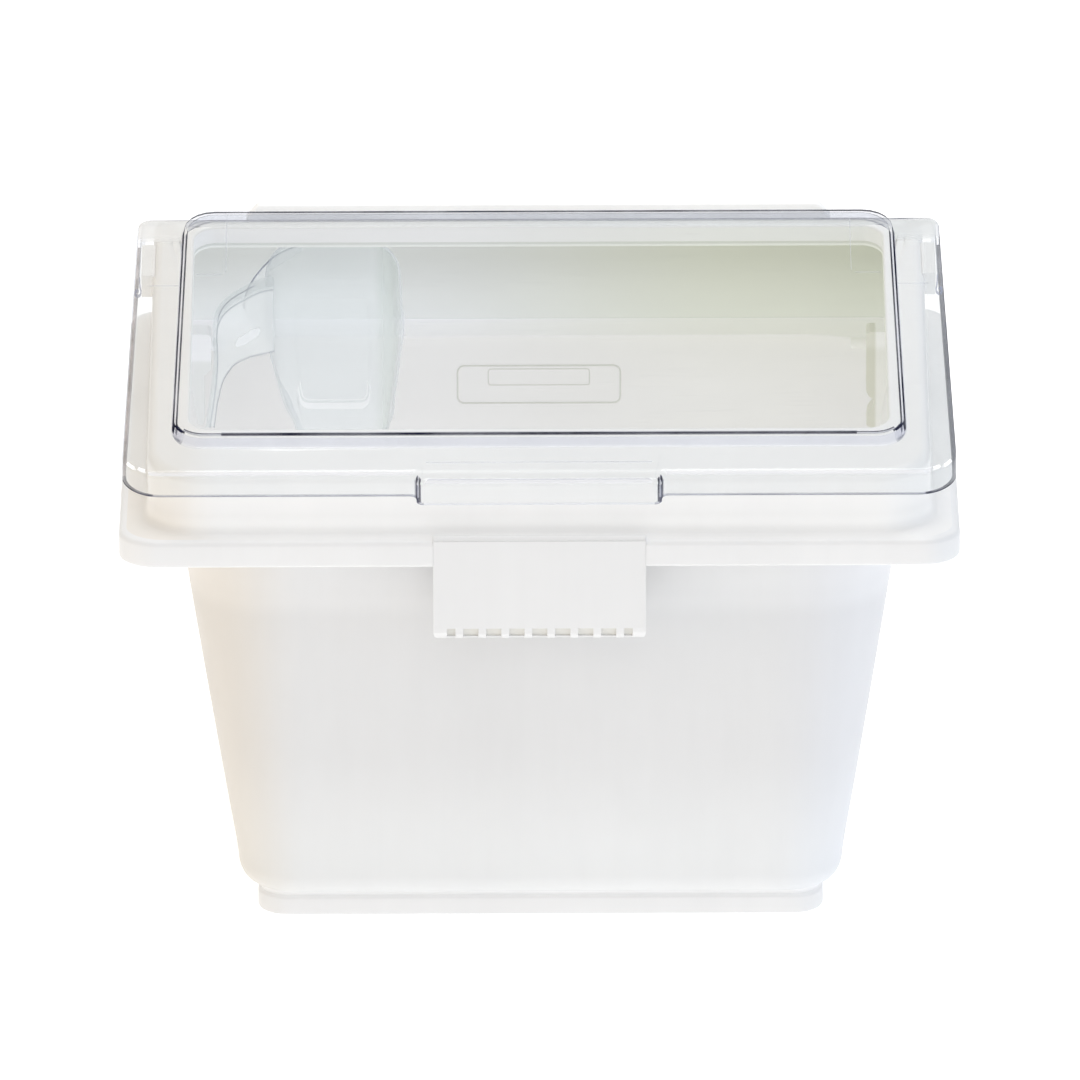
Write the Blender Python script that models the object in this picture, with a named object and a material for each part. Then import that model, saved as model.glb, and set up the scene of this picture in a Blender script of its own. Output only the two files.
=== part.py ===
"""Storage bin: tapered tub, hood with a hinged clear lid and a front latch,
and a scoop beside its hooks.

Dimensions are millimetres in bin coordinates: x across (left is -x), y back from
the front of the rim, z up from the floor.  The mesh is built in metres, with the
bin's depth centred on the world origin and its front towards -Y.
"""
import math

import bmesh
import bpy
from mathutils import Vector

for old_object in list(bpy.data.objects):
    bpy.data.objects.remove(old_object, do_unlink=True)

# ------------------------------------------------------------ shared dimensions
MM = 0.001
WIDTH = 597.0            # over the hood's lip
DEPTH = 489.0            # over the hood's lip
WALL = 3.0               # tub and hood wall
GAP = 0.4                # between tub rim and hood
TUB_TOP = 312.0

LID_SLOPE = math.tan(math.radians(11.5))   # the lid falls towards the front
FOLD_Y = 13.0            # front fold of the lid
FOLD_Z = 366.0           # top face of the lid at the fold

LATCH_HALF = 75.4
LATCH_AXIS_Y = 4.4
LATCH_AXIS_Z = 317.6
LATCH_R = 3.4            # hinge roll

PEG_Y = 376.0            # axis of the scoop pegs
PEG_Z = 330.0

CORNER_STEPS = 8         # segments in a plan corner
TUB_CUTS = 10            # segments along a side of the tub
TOP_CUTS = 14            # segments along a side of the hood and lid
SHARP_ANGLE = math.radians(28)
MERGE_DIST = 0.00002     # metres
DEGENERATE_DIST = 0.00001


# ------------------------------------------------------------ materials
def material(name, colour, roughness, transmission=0.0):
    mat = bpy.data.materials.new(name)
    mat.use_nodes = True
    shader = mat.node_tree.nodes["Principled BSDF"]
    shader.inputs["Base Color"].default_value = (*colour, 1.0)
    shader.inputs["Roughness"].default_value = roughness
    shader.inputs["Transmission Weight"].default_value = transmission
    mat.diffuse_color = (*colour, 1.0)
    return mat


TUB_WHITE = material("tub_white", colour=(0.83, 0.83, 0.82), roughness=0.45)
HOOD_WHITE = material("hood_white", colour=(0.90, 0.90, 0.90), roughness=0.35)
CLEAR = material("clear_plastic", colour=(0.86, 0.88, 0.92), roughness=0.05, transmission=0.9)
LATCH_WHITE = material("latch_white", colour=(0.92, 0.92, 0.92), roughness=0.35)
SMOKE = material("scoop_smoke", colour=(0.70, 0.74, 0.75), roughness=0.12, transmission=0.6)
HOOK_WHITE = material("hook_white", colour=(0.93, 0.93, 0.93), roughness=0.4)


# ------------------------------------------------------------ bodies
def to_world(x, y, z):
    return Vector((x * MM, (y - DEPTH / 2.0) * MM, z * MM))


def loft(rings, strip_caps=True):
    """Closed body through equal-length rings of (x, y, z).

    Strip caps run straight across in x, so that they may follow a fold;
    otherwise each end is closed with a single face.
    """
    bm = bmesh.new()
    loops = [[bm.verts.new(to_world(*point)) for point in ring] for ring in rings]
    count = len(loops[0])
    for lower, upper in zip(loops, loops[1:]):
        for i in range(count):
            j = (i + 1) % count
            bm.faces.new((lower[i], lower[j], upper[j], upper[i]))
    if strip_caps:
        for loop, flip in ((loops[0], True), (loops[-1], False)):
            for i in range(count // 2 - 1):
                quad = (loop[i], loop[i + 1], loop[count - 2 - i], loop[count - 1 - i])
                bm.faces.new(quad[::-1] if flip else quad)
    else:
        bm.faces.new(loops[0][::-1])
        bm.faces.new(loops[-1])
    bmesh.ops.recalc_face_normals(bm, faces=bm.faces[:])
    mesh = bpy.data.meshes.new("body")
    bm.to_mesh(mesh)
    bm.free()
    body = bpy.data.objects.new("body", mesh)
    bpy.context.scene.collection.objects.link(body)
    return body


def box(half, front, rear, bottom, top):
    """Block centred on x = 0."""
    corners = [(half, front), (half, rear), (-half, rear), (-half, front)]
    return loft([level(corners, bottom), level(corners, top)])


def prism_x(outline, start, end):
    """Extrude a (y, z) outline along x."""
    return loft([[(x, y, z) for y, z in outline] for x in (start, end)], strip_caps=False)


def prism_y(outline, start, end):
    """Extrude an (x, z) outline along y."""
    return loft([[(x, y, z) for x, z in outline] for y in (start, end)], strip_caps=False)


def centred_prism(outline, half):
    return prism_x(outline, -half, half)


def side_prism(outline, side, inner, outer):
    """Extrude along x between two distances from the middle; side is -1 or 1."""
    return prism_x(outline, *sorted((side * inner, side * outer)))


def combine(body, tool, operation):
    """Apply an exact boolean to body and remove the tool."""
    modifier = body.modifiers.new("combine", "BOOLEAN")
    modifier.operation = operation
    modifier.solver = "EXACT"
    modifier.object = tool
    depsgraph = bpy.context.evaluated_depsgraph_get()
    mesh = bpy.data.meshes.new_from_object(body.evaluated_get(depsgraph))
    body.modifiers.clear()
    old_mesh = body.data
    body.data = mesh
    bpy.data.meshes.remove(old_mesh)
    bpy.data.objects.remove(tool, do_unlink=True)
    return body


def join(body, tool):
    return combine(body, tool, "UNION")


def cut(body, tool):
    return combine(body, tool, "DIFFERENCE")


def finish(body, name, mat, origin=None):
    """Clean the mesh, then set its origin, name, material and shading."""
    mesh = body.data
    bm = bmesh.new()
    bm.from_mesh(mesh)
    bmesh.ops.remove_doubles(bm, verts=bm.verts[:], dist=MERGE_DIST)
    bmesh.ops.dissolve_degenerate(bm, dist=DEGENERATE_DIST, edges=bm.edges[:])
    bmesh.ops.recalc_face_normals(bm, faces=bm.faces[:])
    bm.to_mesh(mesh)
    bm.free()
    if origin is not None:
        location = to_world(*origin)
        for vertex in mesh.vertices:
            vertex.co -= location
        body.location = location
    body.name = name
    mesh.name = name
    mesh.materials.clear()
    mesh.materials.append(mat)
    for polygon in mesh.polygons:
        polygon.material_index = 0
    mesh.shade_smooth()
    mesh.set_sharp_from_angle(angle=SHARP_ANGLE)


# ------------------------------------------------------------ outlines
def quarter_arc(u, v, radius, start, steps):
    """Quarter circle about (u, v), counter-clockwise from start in degrees."""
    angles = [math.radians(start + 90.0 * k / steps) for k in range(steps + 1)]
    return [(u + radius * math.cos(a), v + radius * math.sin(a)) for a in angles]


def circle(y, z, radius, count=24):
    angles = [2 * math.pi * k / count for k in range(count)]
    return [(y + radius * math.cos(a), z + radius * math.sin(a)) for a in angles]


def rounded(half, front, rear, r_front, r_rear, cuts=TOP_CUTS):
    """Plan outline, counter-clockwise from above: up the right side from the
    front, then down the left.  Left and right points pair up for strip caps."""
    side_front, side_rear = front + r_front, rear - r_rear
    right = quarter_arc(half - r_front, side_front, r_front, -90.0, CORNER_STEPS)
    right += [(half, side_front + (side_rear - side_front) * k / cuts) for k in range(1, cuts)]
    right += quarter_arc(half - r_rear, side_rear, r_rear, 0.0, CORNER_STEPS)
    return right + [(-x, y) for x, y in reversed(right)]


def level(outline, z):
    return [(x, y, z) for x, y in outline]


def lid_plane(y):
    """Height of the lid's top face."""
    return FOLD_Z + (y - FOLD_Y) * LID_SLOPE


def along_lid(outline, offset):
    """Lay a plan outline parallel to the lid's top face."""
    return [(x, y, lid_plane(y) + offset) for x, y in outline]


def lid_profile(stations):
    """(y, z) outline from (y, height relative to the lid's top face)."""
    return [(y, lid_plane(y) + offset) for y, offset in stations]


def edge_roll(radius, steps):
    """(inset, drop) pairs that round a top edge, from its side to its top."""
    angles = [math.pi / 2 * k / steps for k in range(steps + 1)]
    return [(radius * (1 - math.cos(a)), radius * (1 - math.sin(a))) for a in angles]


# ------------------------------------------------------------ tub
# The body tapers evenly between these two heights.
TAPER_LOW_Z = 24.0
LOW_HALF, LOW_FRONT, LOW_R = 214.5, 73.5, 42.0
HALF_GAIN, FRONT_SHIFT, R_GAIN = 44.5, 32.5, 20.0    # changes up to TUB_TOP

RIM_UNDER = TUB_TOP - WALL
BODY_HEIGHTS = (40.0, 110.0, 180.0, 250.0, 296.0, RIM_UNDER - 1.5)
INNER_HEIGHTS = (TUB_TOP - 1.5, 250.0, 180.0, 110.0, 56.0)

# half width, front y, corner radius, z
FOOT = [
    (201.5, 85.5, 20.5, 0.0), (203.0, 84.0, 22.0, 1.8), (203.0, 84.0, 22.0, 12.5),
    (202.3, 84.7, 21.5, 14.2), (200.2, 86.8, 20.0, 15.4), (200.2, 86.8, 20.0, 18.0),
    (202.6, 84.4, 24.0, 19.6), (206.8, 80.4, 30.0, 22.2), (211.0, 76.4, 36.0, 26.4),
    (213.8, 73.6, 41.0, 32.0),
]
TUB_RIM = [
    (263.0, 35.0, 60.0, RIM_UNDER),
    (294.2, 4.2, 24.5, RIM_UNDER),
    (294.8, 3.7, 25.0, RIM_UNDER + 0.8),
    (294.8, 3.7, 25.0, TUB_TOP - 0.8),
    (294.0, 4.5, 24.2, TUB_TOP),
]
# z, inset beyond the wall, where the inner wall rounds into the floor
INNER_FLOOR = [(34.0, 2.0), (26.0, 7.0), (21.5, 16.0)]

PLATE_HALF = 59.5
PLATE = [(437.7, 256.0), (440.4, 280.0), (443.2, 280.0), (440.5, 256.0)]    # y, z
RECESS_HALF, RECESS_FRONT, RECESS_R = 192.0, 95.0, 14.0
RECESS_TOP = 10.0


def tub_ring(half, front, radius, z):
    return level(rounded(half, front, DEPTH - front, radius, radius, TUB_CUTS), z)


def tapered_ring(z, inset=0.0):
    """Ring of the tapered body at height z, moved in by inset."""
    t = (z - TAPER_LOW_Z) / (TUB_TOP - TAPER_LOW_Z)
    return tub_ring(
        LOW_HALF + HALF_GAIN * t - inset,
        LOW_FRONT - FRONT_SHIFT * t + inset,
        LOW_R + R_GAIN * t - inset,
        z,
    )


def build_tub():
    # up the outside, over the rim and down the inside
    rings = [tub_ring(*station) for station in FOOT]
    rings += [tapered_ring(z) for z in BODY_HEIGHTS]
    rings += [tub_ring(*station) for station in TUB_RIM]
    rings.append(tapered_ring(TUB_TOP, WALL - 1.5))
    rings += [tapered_ring(z, WALL) for z in INNER_HEIGHTS]
    rings += [tapered_ring(z, WALL + extra) for z, extra in INNER_FLOOR]
    tub = loft(rings)
    # raised blank plate on the inside of the rear wall
    tub = join(tub, centred_prism(PLATE, PLATE_HALF))
    # recess under the base, so that the tub stands on a ring
    recess = [tub_ring(RECESS_HALF, RECESS_FRONT, RECESS_R, z) for z in (-5.0, RECESS_TOP)]
    tub = cut(tub, loft(recess))
    # the rim is set back behind the latch, so that the hood lifts off with it closed
    bay = box(LATCH_HALF + 2.0, front=-2.0, rear=22.5, bottom=RIM_UNDER - 3.0, top=TUB_TOP + 4.0)
    tub = cut(tub, bay)
    finish(tub, "tub", TUB_WHITE)


# ------------------------------------------------------------ hood
LIP_BOTTOM = 298.5
LIP_TOP = 318.0          # where the lip rolls into the ledge
HOOD_HALF = 278.0
HOOD_FRONT = 15.0
HOOD_REAR = 480.0
HOOD_R_FRONT = 38.0
HOOD_R_REAR = 34.0
ROOF_ROLL_R = 7.0        # rounding of the roof's edge

DECK_DROP = 3.6          # deck below the lid's top face
DECK_END = 353.0
FALL_START = 359.0       # the rear slope starts here
DECK_END_Z = lid_plane(DECK_END) - DECK_DROP
FALL_START_Z = DECK_END_Z - 0.5
ROOF_FALL = 0.43         # fall of the rear slope per mm of y

# half width, front inset, rear inset, front radius, rear radius, z
LIP = [
    (WIDTH / 2 - 0.5, 0.6, 0.6, 27.5, 27.5, LIP_BOTTOM),
    (WIDTH / 2, 0.0, 0.0, 28.0, 28.0, LIP_BOTTOM + 1.0),
    (WIDTH / 2, 0.0, 0.0, 28.0, 28.0, LIP_TOP - 3.5),
    (297.6, 0.9, 0.9, 27.2, 27.2, LIP_TOP - 1.0),
    (295.0, 3.4, 3.4, 26.0, 26.0, LIP_TOP + 0.6),
    (285.0, 9.0, 6.5, 30.0, 28.0, LIP_TOP + 1.4),
]
# the same columns for the space that clears the tub's rim
LIP_INSIDE = [
    (295.4, 3.1, 3.1, 25.4, 25.4, LIP_BOTTOM - 2.0),
    (295.4, 3.1, 3.1, 25.4, 25.4, TUB_TOP + GAP - 0.8),
    (294.6, 3.9, 3.9, 24.6, 24.6, TUB_TOP + GAP),
    (279.0, 18.0, 12.0, 38.0, 34.0, TUB_TOP + GAP),
]

OPEN_HALF = 249.0        # window opening in the deck
OPEN_FRONT = 76.5
OPEN_REAR = 349.0
OPEN_R = 16.0
FLANGE_W = 3.0
FLANGE_DROP = 16.0

RIDGE_FRONT = 364.0      # stop ridge behind the lid
RIDGE_REAR = RIDGE_FRONT + 10.0
RIDGE_HALF = 204.5
RIDGE_TOP = 442.0

BOSS_FRONT, BOSS_REAR = 286.0, 328.0
BOSS_OUTER = 283.2       # distance of the boss face from the middle
BOSS_LOW, BOSS_HIGH = -18.0, -5.2    # relative to the lid's top face

POCKET_HALF = LATCH_HALF + 0.6
POCKET_FRONT = -3.0


def roof(y):
    """Top of the hood: deck parallel to the lid, a short step, a steeper fall."""
    if y <= DECK_END:
        return lid_plane(y) - DECK_DROP
    if y <= FALL_START:
        return DECK_END_Z + (y - DECK_END) * (FALL_START_Z - DECK_END_Z) / (FALL_START - DECK_END)
    return FALL_START_Z - (y - FALL_START) * ROOF_FALL


def along_roof(outline, offset):
    return [(x, y, roof(y) + offset) for x, y in outline]


def folded(half, front, rear, r_front, r_rear):
    """Rounded outline with side points moved onto the two folds of the roof."""
    outline = rounded(half, front, rear, r_front, r_rear)
    nearest = min(range(len(outline) // 2), key=lambda i: abs(outline[i][1] - DECK_END))
    for i, y in ((nearest, DECK_END), (nearest + 1, FALL_START)):
        for index in (i, len(outline) - 1 - i):
            outline[index] = (outline[index][0], y)
    return outline


def hood_body(lip_stations, inset):
    """Lip, ledge, walls and roof as one solid, moved in by inset above the lip."""
    rings = [
        level(folded(half, front, DEPTH - rear, r_front, r_rear), z)
        for half, front, rear, r_front, r_rear, z in lip_stations
    ]

    def wall(extra):
        return folded(
            HOOD_HALF - inset - extra,
            HOOD_FRONT + inset + extra,
            HOOD_REAR - inset - extra,
            HOOD_R_FRONT - inset - extra,
            HOOD_R_REAR - inset - extra,
        )

    foot = folded(
        HOOD_HALF - inset + 1.5,
        HOOD_FRONT + inset - 1.0,
        HOOD_REAR - inset + 1.0,
        HOOD_R_FRONT - inset + 1.0,
        HOOD_R_REAR - inset + 1.0,
    )
    rings.append(level(foot, LIP_TOP + 3.5 - inset))
    rings.append(level(wall(0.0), LIP_TOP + 8.0 - inset))
    for extra, drop in edge_roll(ROOF_ROLL_R, steps=5):
        rings.append(along_roof(wall(extra), -inset - drop))
    return loft(rings)


def add_window(hood):
    """Downward flange round the window opening, then the opening itself."""
    flange = rounded(
        OPEN_HALF + FLANGE_W,
        OPEN_FRONT - FLANGE_W,
        OPEN_REAR + FLANGE_W,
        OPEN_R + FLANGE_W,
        OPEN_R + FLANGE_W,
    )
    hood = join(hood, loft([along_roof(flange, -FLANGE_DROP), along_roof(flange, -1.0)]))
    opening = rounded(OPEN_HALF, OPEN_FRONT, OPEN_REAR, OPEN_R, OPEN_R)
    return cut(hood, loft([along_roof(opening, -40.0), along_roof(opening, 20.0)]))


def stop_ridge():
    """Ridge across the rear slope, with chamfered ends."""
    foot_half, top_half = RIDGE_HALF + 7.0, RIDGE_HALF - 2.0
    foot_z = roof(RIDGE_REAR) - 1.5
    chamfer_z = foot_z + 9.0
    outline = [
        (-foot_half, foot_z), (foot_half, foot_z), (foot_half, chamfer_z),
        (top_half, RIDGE_TOP), (-top_half, RIDGE_TOP), (-foot_half, chamfer_z),
    ]
    return prism_y(outline, RIDGE_FRONT, RIDGE_REAR)


def cut_latch_pocket(hood):
    """Pocket in the lip for the latch plate and its hinge roll."""
    plate = box(
        POCKET_HALF, front=POCKET_FRONT, rear=3.9, bottom=LIP_BOTTOM - 4.0, top=LATCH_AXIS_Z
    )
    hood = cut(hood, plate)
    roll = circle(LATCH_AXIS_Y, LATCH_AXIS_Z, LATCH_R + 0.55, 28)
    hood = cut(hood, centred_prism(roll, POCKET_HALF))
    above = box(
        POCKET_HALF,
        front=POCKET_FRONT,
        rear=LATCH_AXIS_Y,
        bottom=LATCH_AXIS_Z - 1.0,
        top=LATCH_AXIS_Z + 8.0,
    )
    return cut(hood, above)


def build_hood():
    hood = hood_body(LIP, inset=0.0)
    hood = cut(hood, hood_body(LIP_INSIDE, inset=WALL))
    hood = add_window(hood)
    hood = join(hood, stop_ridge())
    # guide bosses on both sides under the lid's skirt
    boss = lid_profile([
        (BOSS_FRONT, BOSS_LOW), (BOSS_REAR, BOSS_LOW),
        (BOSS_REAR, BOSS_HIGH), (BOSS_FRONT, BOSS_HIGH),
    ])
    for side in (-1, 1):
        hood = join(hood, side_prism(boss, side, HOOD_HALF - 1.5, BOSS_OUTER))
    hood = cut_latch_pocket(hood)
    finish(hood, "hood", HOOD_WHITE)


# ------------------------------------------------------------ clear lid
LID_FRONT = FOLD_Y - 1.0
LID_REAR = 352.0
LID_HALF = 296.0         # over the skirts
LID_T = 3.0
LID_R_FRONT = 28.0
LID_R_REAR = 6.0
LID_ROLL_R = 5.0
SKIRT = 18.0
HOLLOW_REAR = LID_REAR + 40.0    # past the lid, which leaves its rear open

PANEL_HALF = 259.5       # raised window panel
PANEL_FRONT = 48.0
PANEL_REAR = LID_REAR - 1.5
PANEL_H = 8.7
PANEL_R = 22.0
PANEL_DRAFT = 1.6        # spread of the panel's foot

PULL_HALF = 87.5         # pull lip in front of the skirt
PULL_REAR = FOLD_Y + 8.0
PULL_HOLLOW_REAR = FOLD_Y + 6.0
# y, height relative to the lid's top face
PULL = [
    (PULL_REAR, -14.0), (1.0, -14.0), (0.2, -12.0), (0.2, -3.0),
    (1.2, -0.8), (3.0, 0.0), (PULL_REAR, 0.0),
]
PULL_HOLLOW = [
    (PULL_HOLLOW_REAR, -40.0), (3.2, -40.0), (3.2, -4.6),
    (4.6, -LID_T), (PULL_HOLLOW_REAR, -LID_T),
]
GUIDE_RIB = [(278.0, -12.0), (330.0, -12.0), (330.0, -2.0), (278.0, -2.0)]
BEAD_Y = 279.0


def narrow_lid(outline):
    """The lid narrows by 2.1 % over 320 mm behind y = 30."""
    return [(x * (1.0 - 0.021 * max(y - 30.0, 0.0) / 320.0), y) for x, y in outline]


def narrow_panel(outline):
    """The panel narrows by 1.6 % over 300 mm."""
    return [(x * (1.0 - 0.016 * (y - PANEL_FRONT) / 300.0), y) for x, y in outline]


def lid_body():
    def outline(inset):
        return narrow_lid(rounded(
            LID_HALF - inset,
            LID_FRONT + inset,
            LID_REAR - inset,
            LID_R_FRONT - inset,
            LID_R_REAR - inset,
        ))

    rings = [along_lid(outline(0.0), -SKIRT)]
    rings += [along_lid(outline(inset), -drop) for inset, drop in edge_roll(LID_ROLL_R, steps=5)]
    return loft(rings)


def lid_hollow():
    def outline(inset, r_front):
        half, front = LID_HALF - inset, LID_FRONT + inset
        return narrow_lid(rounded(half, front, HOLLOW_REAR, r_front, 4.0))

    side = outline(LID_T, 25.0)
    top = outline(LID_T + 2.0, 23.0)
    return loft([along_lid(side, -40.0), along_lid(side, -LID_T - 2.0), along_lid(top, -LID_T)])


def panel_body(inset, bottom, top, roll_radius):
    """Window panel, moved in by inset; heights are relative to the lid's top face."""
    half, front, rear = PANEL_HALF - inset, PANEL_FRONT + inset, PANEL_REAR - inset
    foot = narrow_panel(rounded(
        half + PANEL_DRAFT, front - PANEL_DRAFT, rear, PANEL_R + 1.0, PANEL_R + 1.0
    ))
    rings = [along_lid(foot, bottom), along_lid(foot, 0.4)]
    for extra, drop in edge_roll(roll_radius, steps=4):
        radius = PANEL_R - extra
        outline = rounded(half - extra, front + extra, rear - extra, radius, radius)
        rings.append(along_lid(narrow_panel(outline), top - drop))
    return loft(rings)


def build_lid():
    lid = lid_body()
    lid = join(lid, panel_body(inset=0.0, bottom=-1.5, top=PANEL_H, roll_radius=3.0))
    lid = join(lid, centred_prism(lid_profile(PULL), PULL_HALF))
    lid = cut(lid, lid_hollow())
    lid = cut(lid, panel_body(inset=LID_T, bottom=-6.0, top=PANEL_H - LID_T, roll_radius=1.5))
    lid = cut(lid, centred_prism(lid_profile(PULL_HOLLOW), PULL_HALF - LID_T))
    # guide ribs that run outside the hood's bosses, with a bead near the front end
    bead = circle(BEAD_Y, lid_plane(BEAD_Y) - 8.0, 3.2, 20)
    for side in (-1, 1):
        lid = join(lid, side_prism(lid_profile(GUIDE_RIB), side, 284.2, 286.0))
        lid = join(lid, side_prism(bead, side, 281.4, 289.0))
    finish(lid, "clear_lid", CLEAR, origin=(0.0, LID_REAR, lid_plane(LID_REAR)))


# ------------------------------------------------------------ front latch
LATCH_BOTTOM = 245.0
PLATE_FRONT, PLATE_REAR = 0.2, 3.2
RIB_COUNT = 8
RIB_PITCH = 16.3
RIB_W = 4.3
END_W = 9.3              # solid block at each end of the row of ribs

# y, height above LATCH_BOTTOM
LATCH_RETURN = [
    (PLATE_FRONT, 10.0), (PLATE_FRONT, 7.5), (1.2, 6.0), (3.0, 5.2),
    (16.0, 5.2), (16.0, 8.0), (4.0, 9.0), (PLATE_REAR, 10.0),
]
LATCH_RIB = [
    (2.0, 6.0), (4.0, 0.0), (17.0, 0.0), (20.0, 3.0), (20.0, 14.0), (8.0, 50.0), (2.0, 55.0),
]


def latch_profile(stations):
    return [(y, LATCH_BOTTOM + height) for y, height in stations]


def build_latch():
    latch = box(LATCH_HALF, PLATE_FRONT, PLATE_REAR, LATCH_BOTTOM + 8.0, LATCH_AXIS_Z)
    roll = circle(LATCH_AXIS_Y, LATCH_AXIS_Z, LATCH_R, 28)
    latch = join(latch, centred_prism(roll, LATCH_HALF))
    # rounded lower return of the plate
    latch = join(latch, centred_prism(latch_profile(LATCH_RETURN), LATCH_HALF))
    rib = latch_profile(LATCH_RIB)
    for k in range(RIB_COUNT):
        x = (k - (RIB_COUNT - 1) / 2) * RIB_PITCH
        latch = join(latch, prism_x(rib, x - RIB_W / 2, x + RIB_W / 2))
    for side in (-1, 1):
        latch = join(latch, side_prism(rib, side, LATCH_HALF - END_W, LATCH_HALF))
    finish(latch, "front_latch", LATCH_WHITE, origin=(0.0, LATCH_AXIS_Y, LATCH_AXIS_Z))


# ------------------------------------------------------------ scoop
SCOOP_X = -148.5
SCOOP_CORNER_STEPS = 6
SCOOP_SIDE_CUTS = 8

# z, factor on the half width; the bowl narrows towards its lower end
NARROW_LEFT = [
    (240.0, 0.56), (258.0, 0.58), (272.0, 0.66), (280.0, 0.76),
    (292.0, 0.87), (308.0, 0.94), (330.0, 1.0), (420.0, 1.0),
]
NARROW_RIGHT = [
    (240.0, 0.82), (265.0, 0.85), (308.0, 0.94), (316.0, 0.98),
    (330.0, 1.0), (350.0, 0.97), (370.0, 0.95), (420.0, 0.95),
]
# y, centre z, half width, half height, corner radius:
# outside from the closed front to the mouth at the rear, then back inside
SCOOP = [
    (361.0, 316.0, 36.0, 60.0, 14.0), (358.5, 316.0, 38.5, 62.5, 16.0),
    (359.5, 316.0, 41.0, 66.0, 18.0), (366.0, 318.0, 45.5, 71.0, 20.0),
    (395.0, 318.0, 48.5, 75.0, 22.0), (418.0, 318.0, 50.5, 78.0, 24.0),
    (418.0, 318.0, 48.5, 76.0, 22.0), (395.0, 318.0, 46.3, 72.8, 20.0),
    (368.0, 318.0, 43.0, 68.5, 18.0), (363.5, 316.0, 38.0, 62.0, 15.0),
]
# x, z along the middle of the handle strip
HANDLE = [
    (-195.5, 372.0), (-204.0, 369.0), (-213.0, 364.0), (-221.0, 357.5),
    (-227.5, 349.5), (-231.5, 340.0), (-233.0, 329.0), (-233.6, 318.0),
    (-235.0, 305.0), (-237.0, 292.0), (-239.0, 280.0), (-240.5, 270.0),
]
HANDLE_T = 3.4
HANDLE_FRONT, HANDLE_REAR = 366.0, 387.0
HOLE_X = -236.0          # middle of the peg hole
HOLE_R = 5.2


def smooth_lookup(rows, z):
    """Value at z, eased between the rows and held beyond them."""
    if z <= rows[0][0]:
        return rows[0][1]
    for (z0, value0), (z1, value1) in zip(rows, rows[1:]):
        if z <= z1:
            t = (z - z0) / (z1 - z0)
            t = t * t * (3.0 - 2.0 * t)
            return value0 + (value1 - value0) * t
    return rows[-1][1]


def scoop_ring(y, centre_z, half_x, half_z, radius):
    u, v = half_x - radius, half_z - radius
    side = [v * (1.0 - 2.0 * k / SCOOP_SIDE_CUTS) for k in range(1, SCOOP_SIDE_CUTS)]
    points = quarter_arc(u, v, radius, 0.0, SCOOP_CORNER_STEPS)
    points += quarter_arc(-u, v, radius, 90.0, SCOOP_CORNER_STEPS)
    points += [(-half_x, z) for z in side]
    points += quarter_arc(-u, -v, radius, 180.0, SCOOP_CORNER_STEPS)
    points += quarter_arc(u, -v, radius, 270.0, SCOOP_CORNER_STEPS)
    points += [(half_x, -z) for z in side]
    ring = []
    for x, z in points:
        factor = smooth_lookup(NARROW_LEFT if x < 0 else NARROW_RIGHT, centre_z + z)
        ring.append((SCOOP_X + x * factor, y, centre_z + z))
    return ring


def ribbon(points, thickness):
    """Closed outline of a strip along a centre line."""
    left, right = [], []
    for i, (x, z) in enumerate(points):
        before = points[max(i - 1, 0)]
        after = points[min(i + 1, len(points) - 1)]
        dx, dz = after[0] - before[0], after[1] - before[1]
        length = math.hypot(dx, dz)
        normal_x, normal_z = -dz / length, dx / length
        left.append((x + normal_x * thickness / 2, z + normal_z * thickness / 2))
        right.append((x - normal_x * thickness / 2, z - normal_z * thickness / 2))
    return left + right[::-1]


def build_scoop():
    scoop = loft([scoop_ring(*station) for station in SCOOP], strip_caps=False)
    scoop = join(scoop, prism_y(ribbon(HANDLE, HANDLE_T), HANDLE_FRONT, HANDLE_REAR))
    hole = prism_x(circle(PEG_Y, PEG_Z, HOLE_R), HOLE_X - 10.0, HOLE_X + 10.0)
    scoop = cut(scoop, hole)
    finish(scoop, "scoop", SMOKE, origin=(HOLE_X, PEG_Y, PEG_Z))


# ------------------------------------------------------------ scoop hooks
HANGER_HALF_W = 10.0
PEG_R = 4.0
PEG_INNER, PEG_OUTER = 226.5, 240.0    # ends of the peg, from the middle

# distance from the middle, z: saddle over the rim, then down and back up the leg
SADDLE = [(272.0, TUB_TOP + 0.5), (272.0, 340.0), (266.0, 342.0), (240.0, 342.0), (238.0, 340.0)]
# slimmer, because the scoop's handle lies along it
LEFT_LEG = [
    (238.0, TUB_TOP + 3.0), (243.4, TUB_TOP - 2.0), (243.2, 276.0),
    (244.6, 272.0), (248.2, 272.0), (255.0, TUB_TOP + 0.5),
]
RIGHT_LEG = [
    (238.0, 296.0), (240.0, 292.0), (243.0, 290.0), (243.0, 284.0), (239.0, 278.0),
    (238.0, 270.0), (244.0, 266.0), (247.2, 268.0), (255.0, TUB_TOP + 0.5),
]


def build_hook(name, side, leg):
    outline = [(side * x, z) for x, z in SADDLE + leg]
    hook = prism_y(outline, PEG_Y - HANGER_HALF_W, PEG_Y + HANGER_HALF_W)
    hook = join(hook, side_prism(circle(PEG_Y, PEG_Z, PEG_R), side, PEG_INNER, PEG_OUTER))
    finish(hook, name, HOOK_WHITE)


build_tub()
build_hood()
build_lid()
build_latch()
build_scoop()
build_hook("scoop_hook_left", -1, LEFT_LEG)
build_hook("scoop_hook_right", 1, RIGHT_LEG)
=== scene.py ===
"""White storage bin with a hood, a sloping clear lid, a front latch and a clear scoop hung inside.

x runs to the right, y from the front to the back and z up from the floor. Sizes are in
millimetres with y counted from the front of the rim; point() turns them into scene metres,
centred in depth. Numbers inside the materials are in metres, in object coordinates.
"""
import bpy
import bmesh
import math
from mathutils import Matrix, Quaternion, Vector


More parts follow.
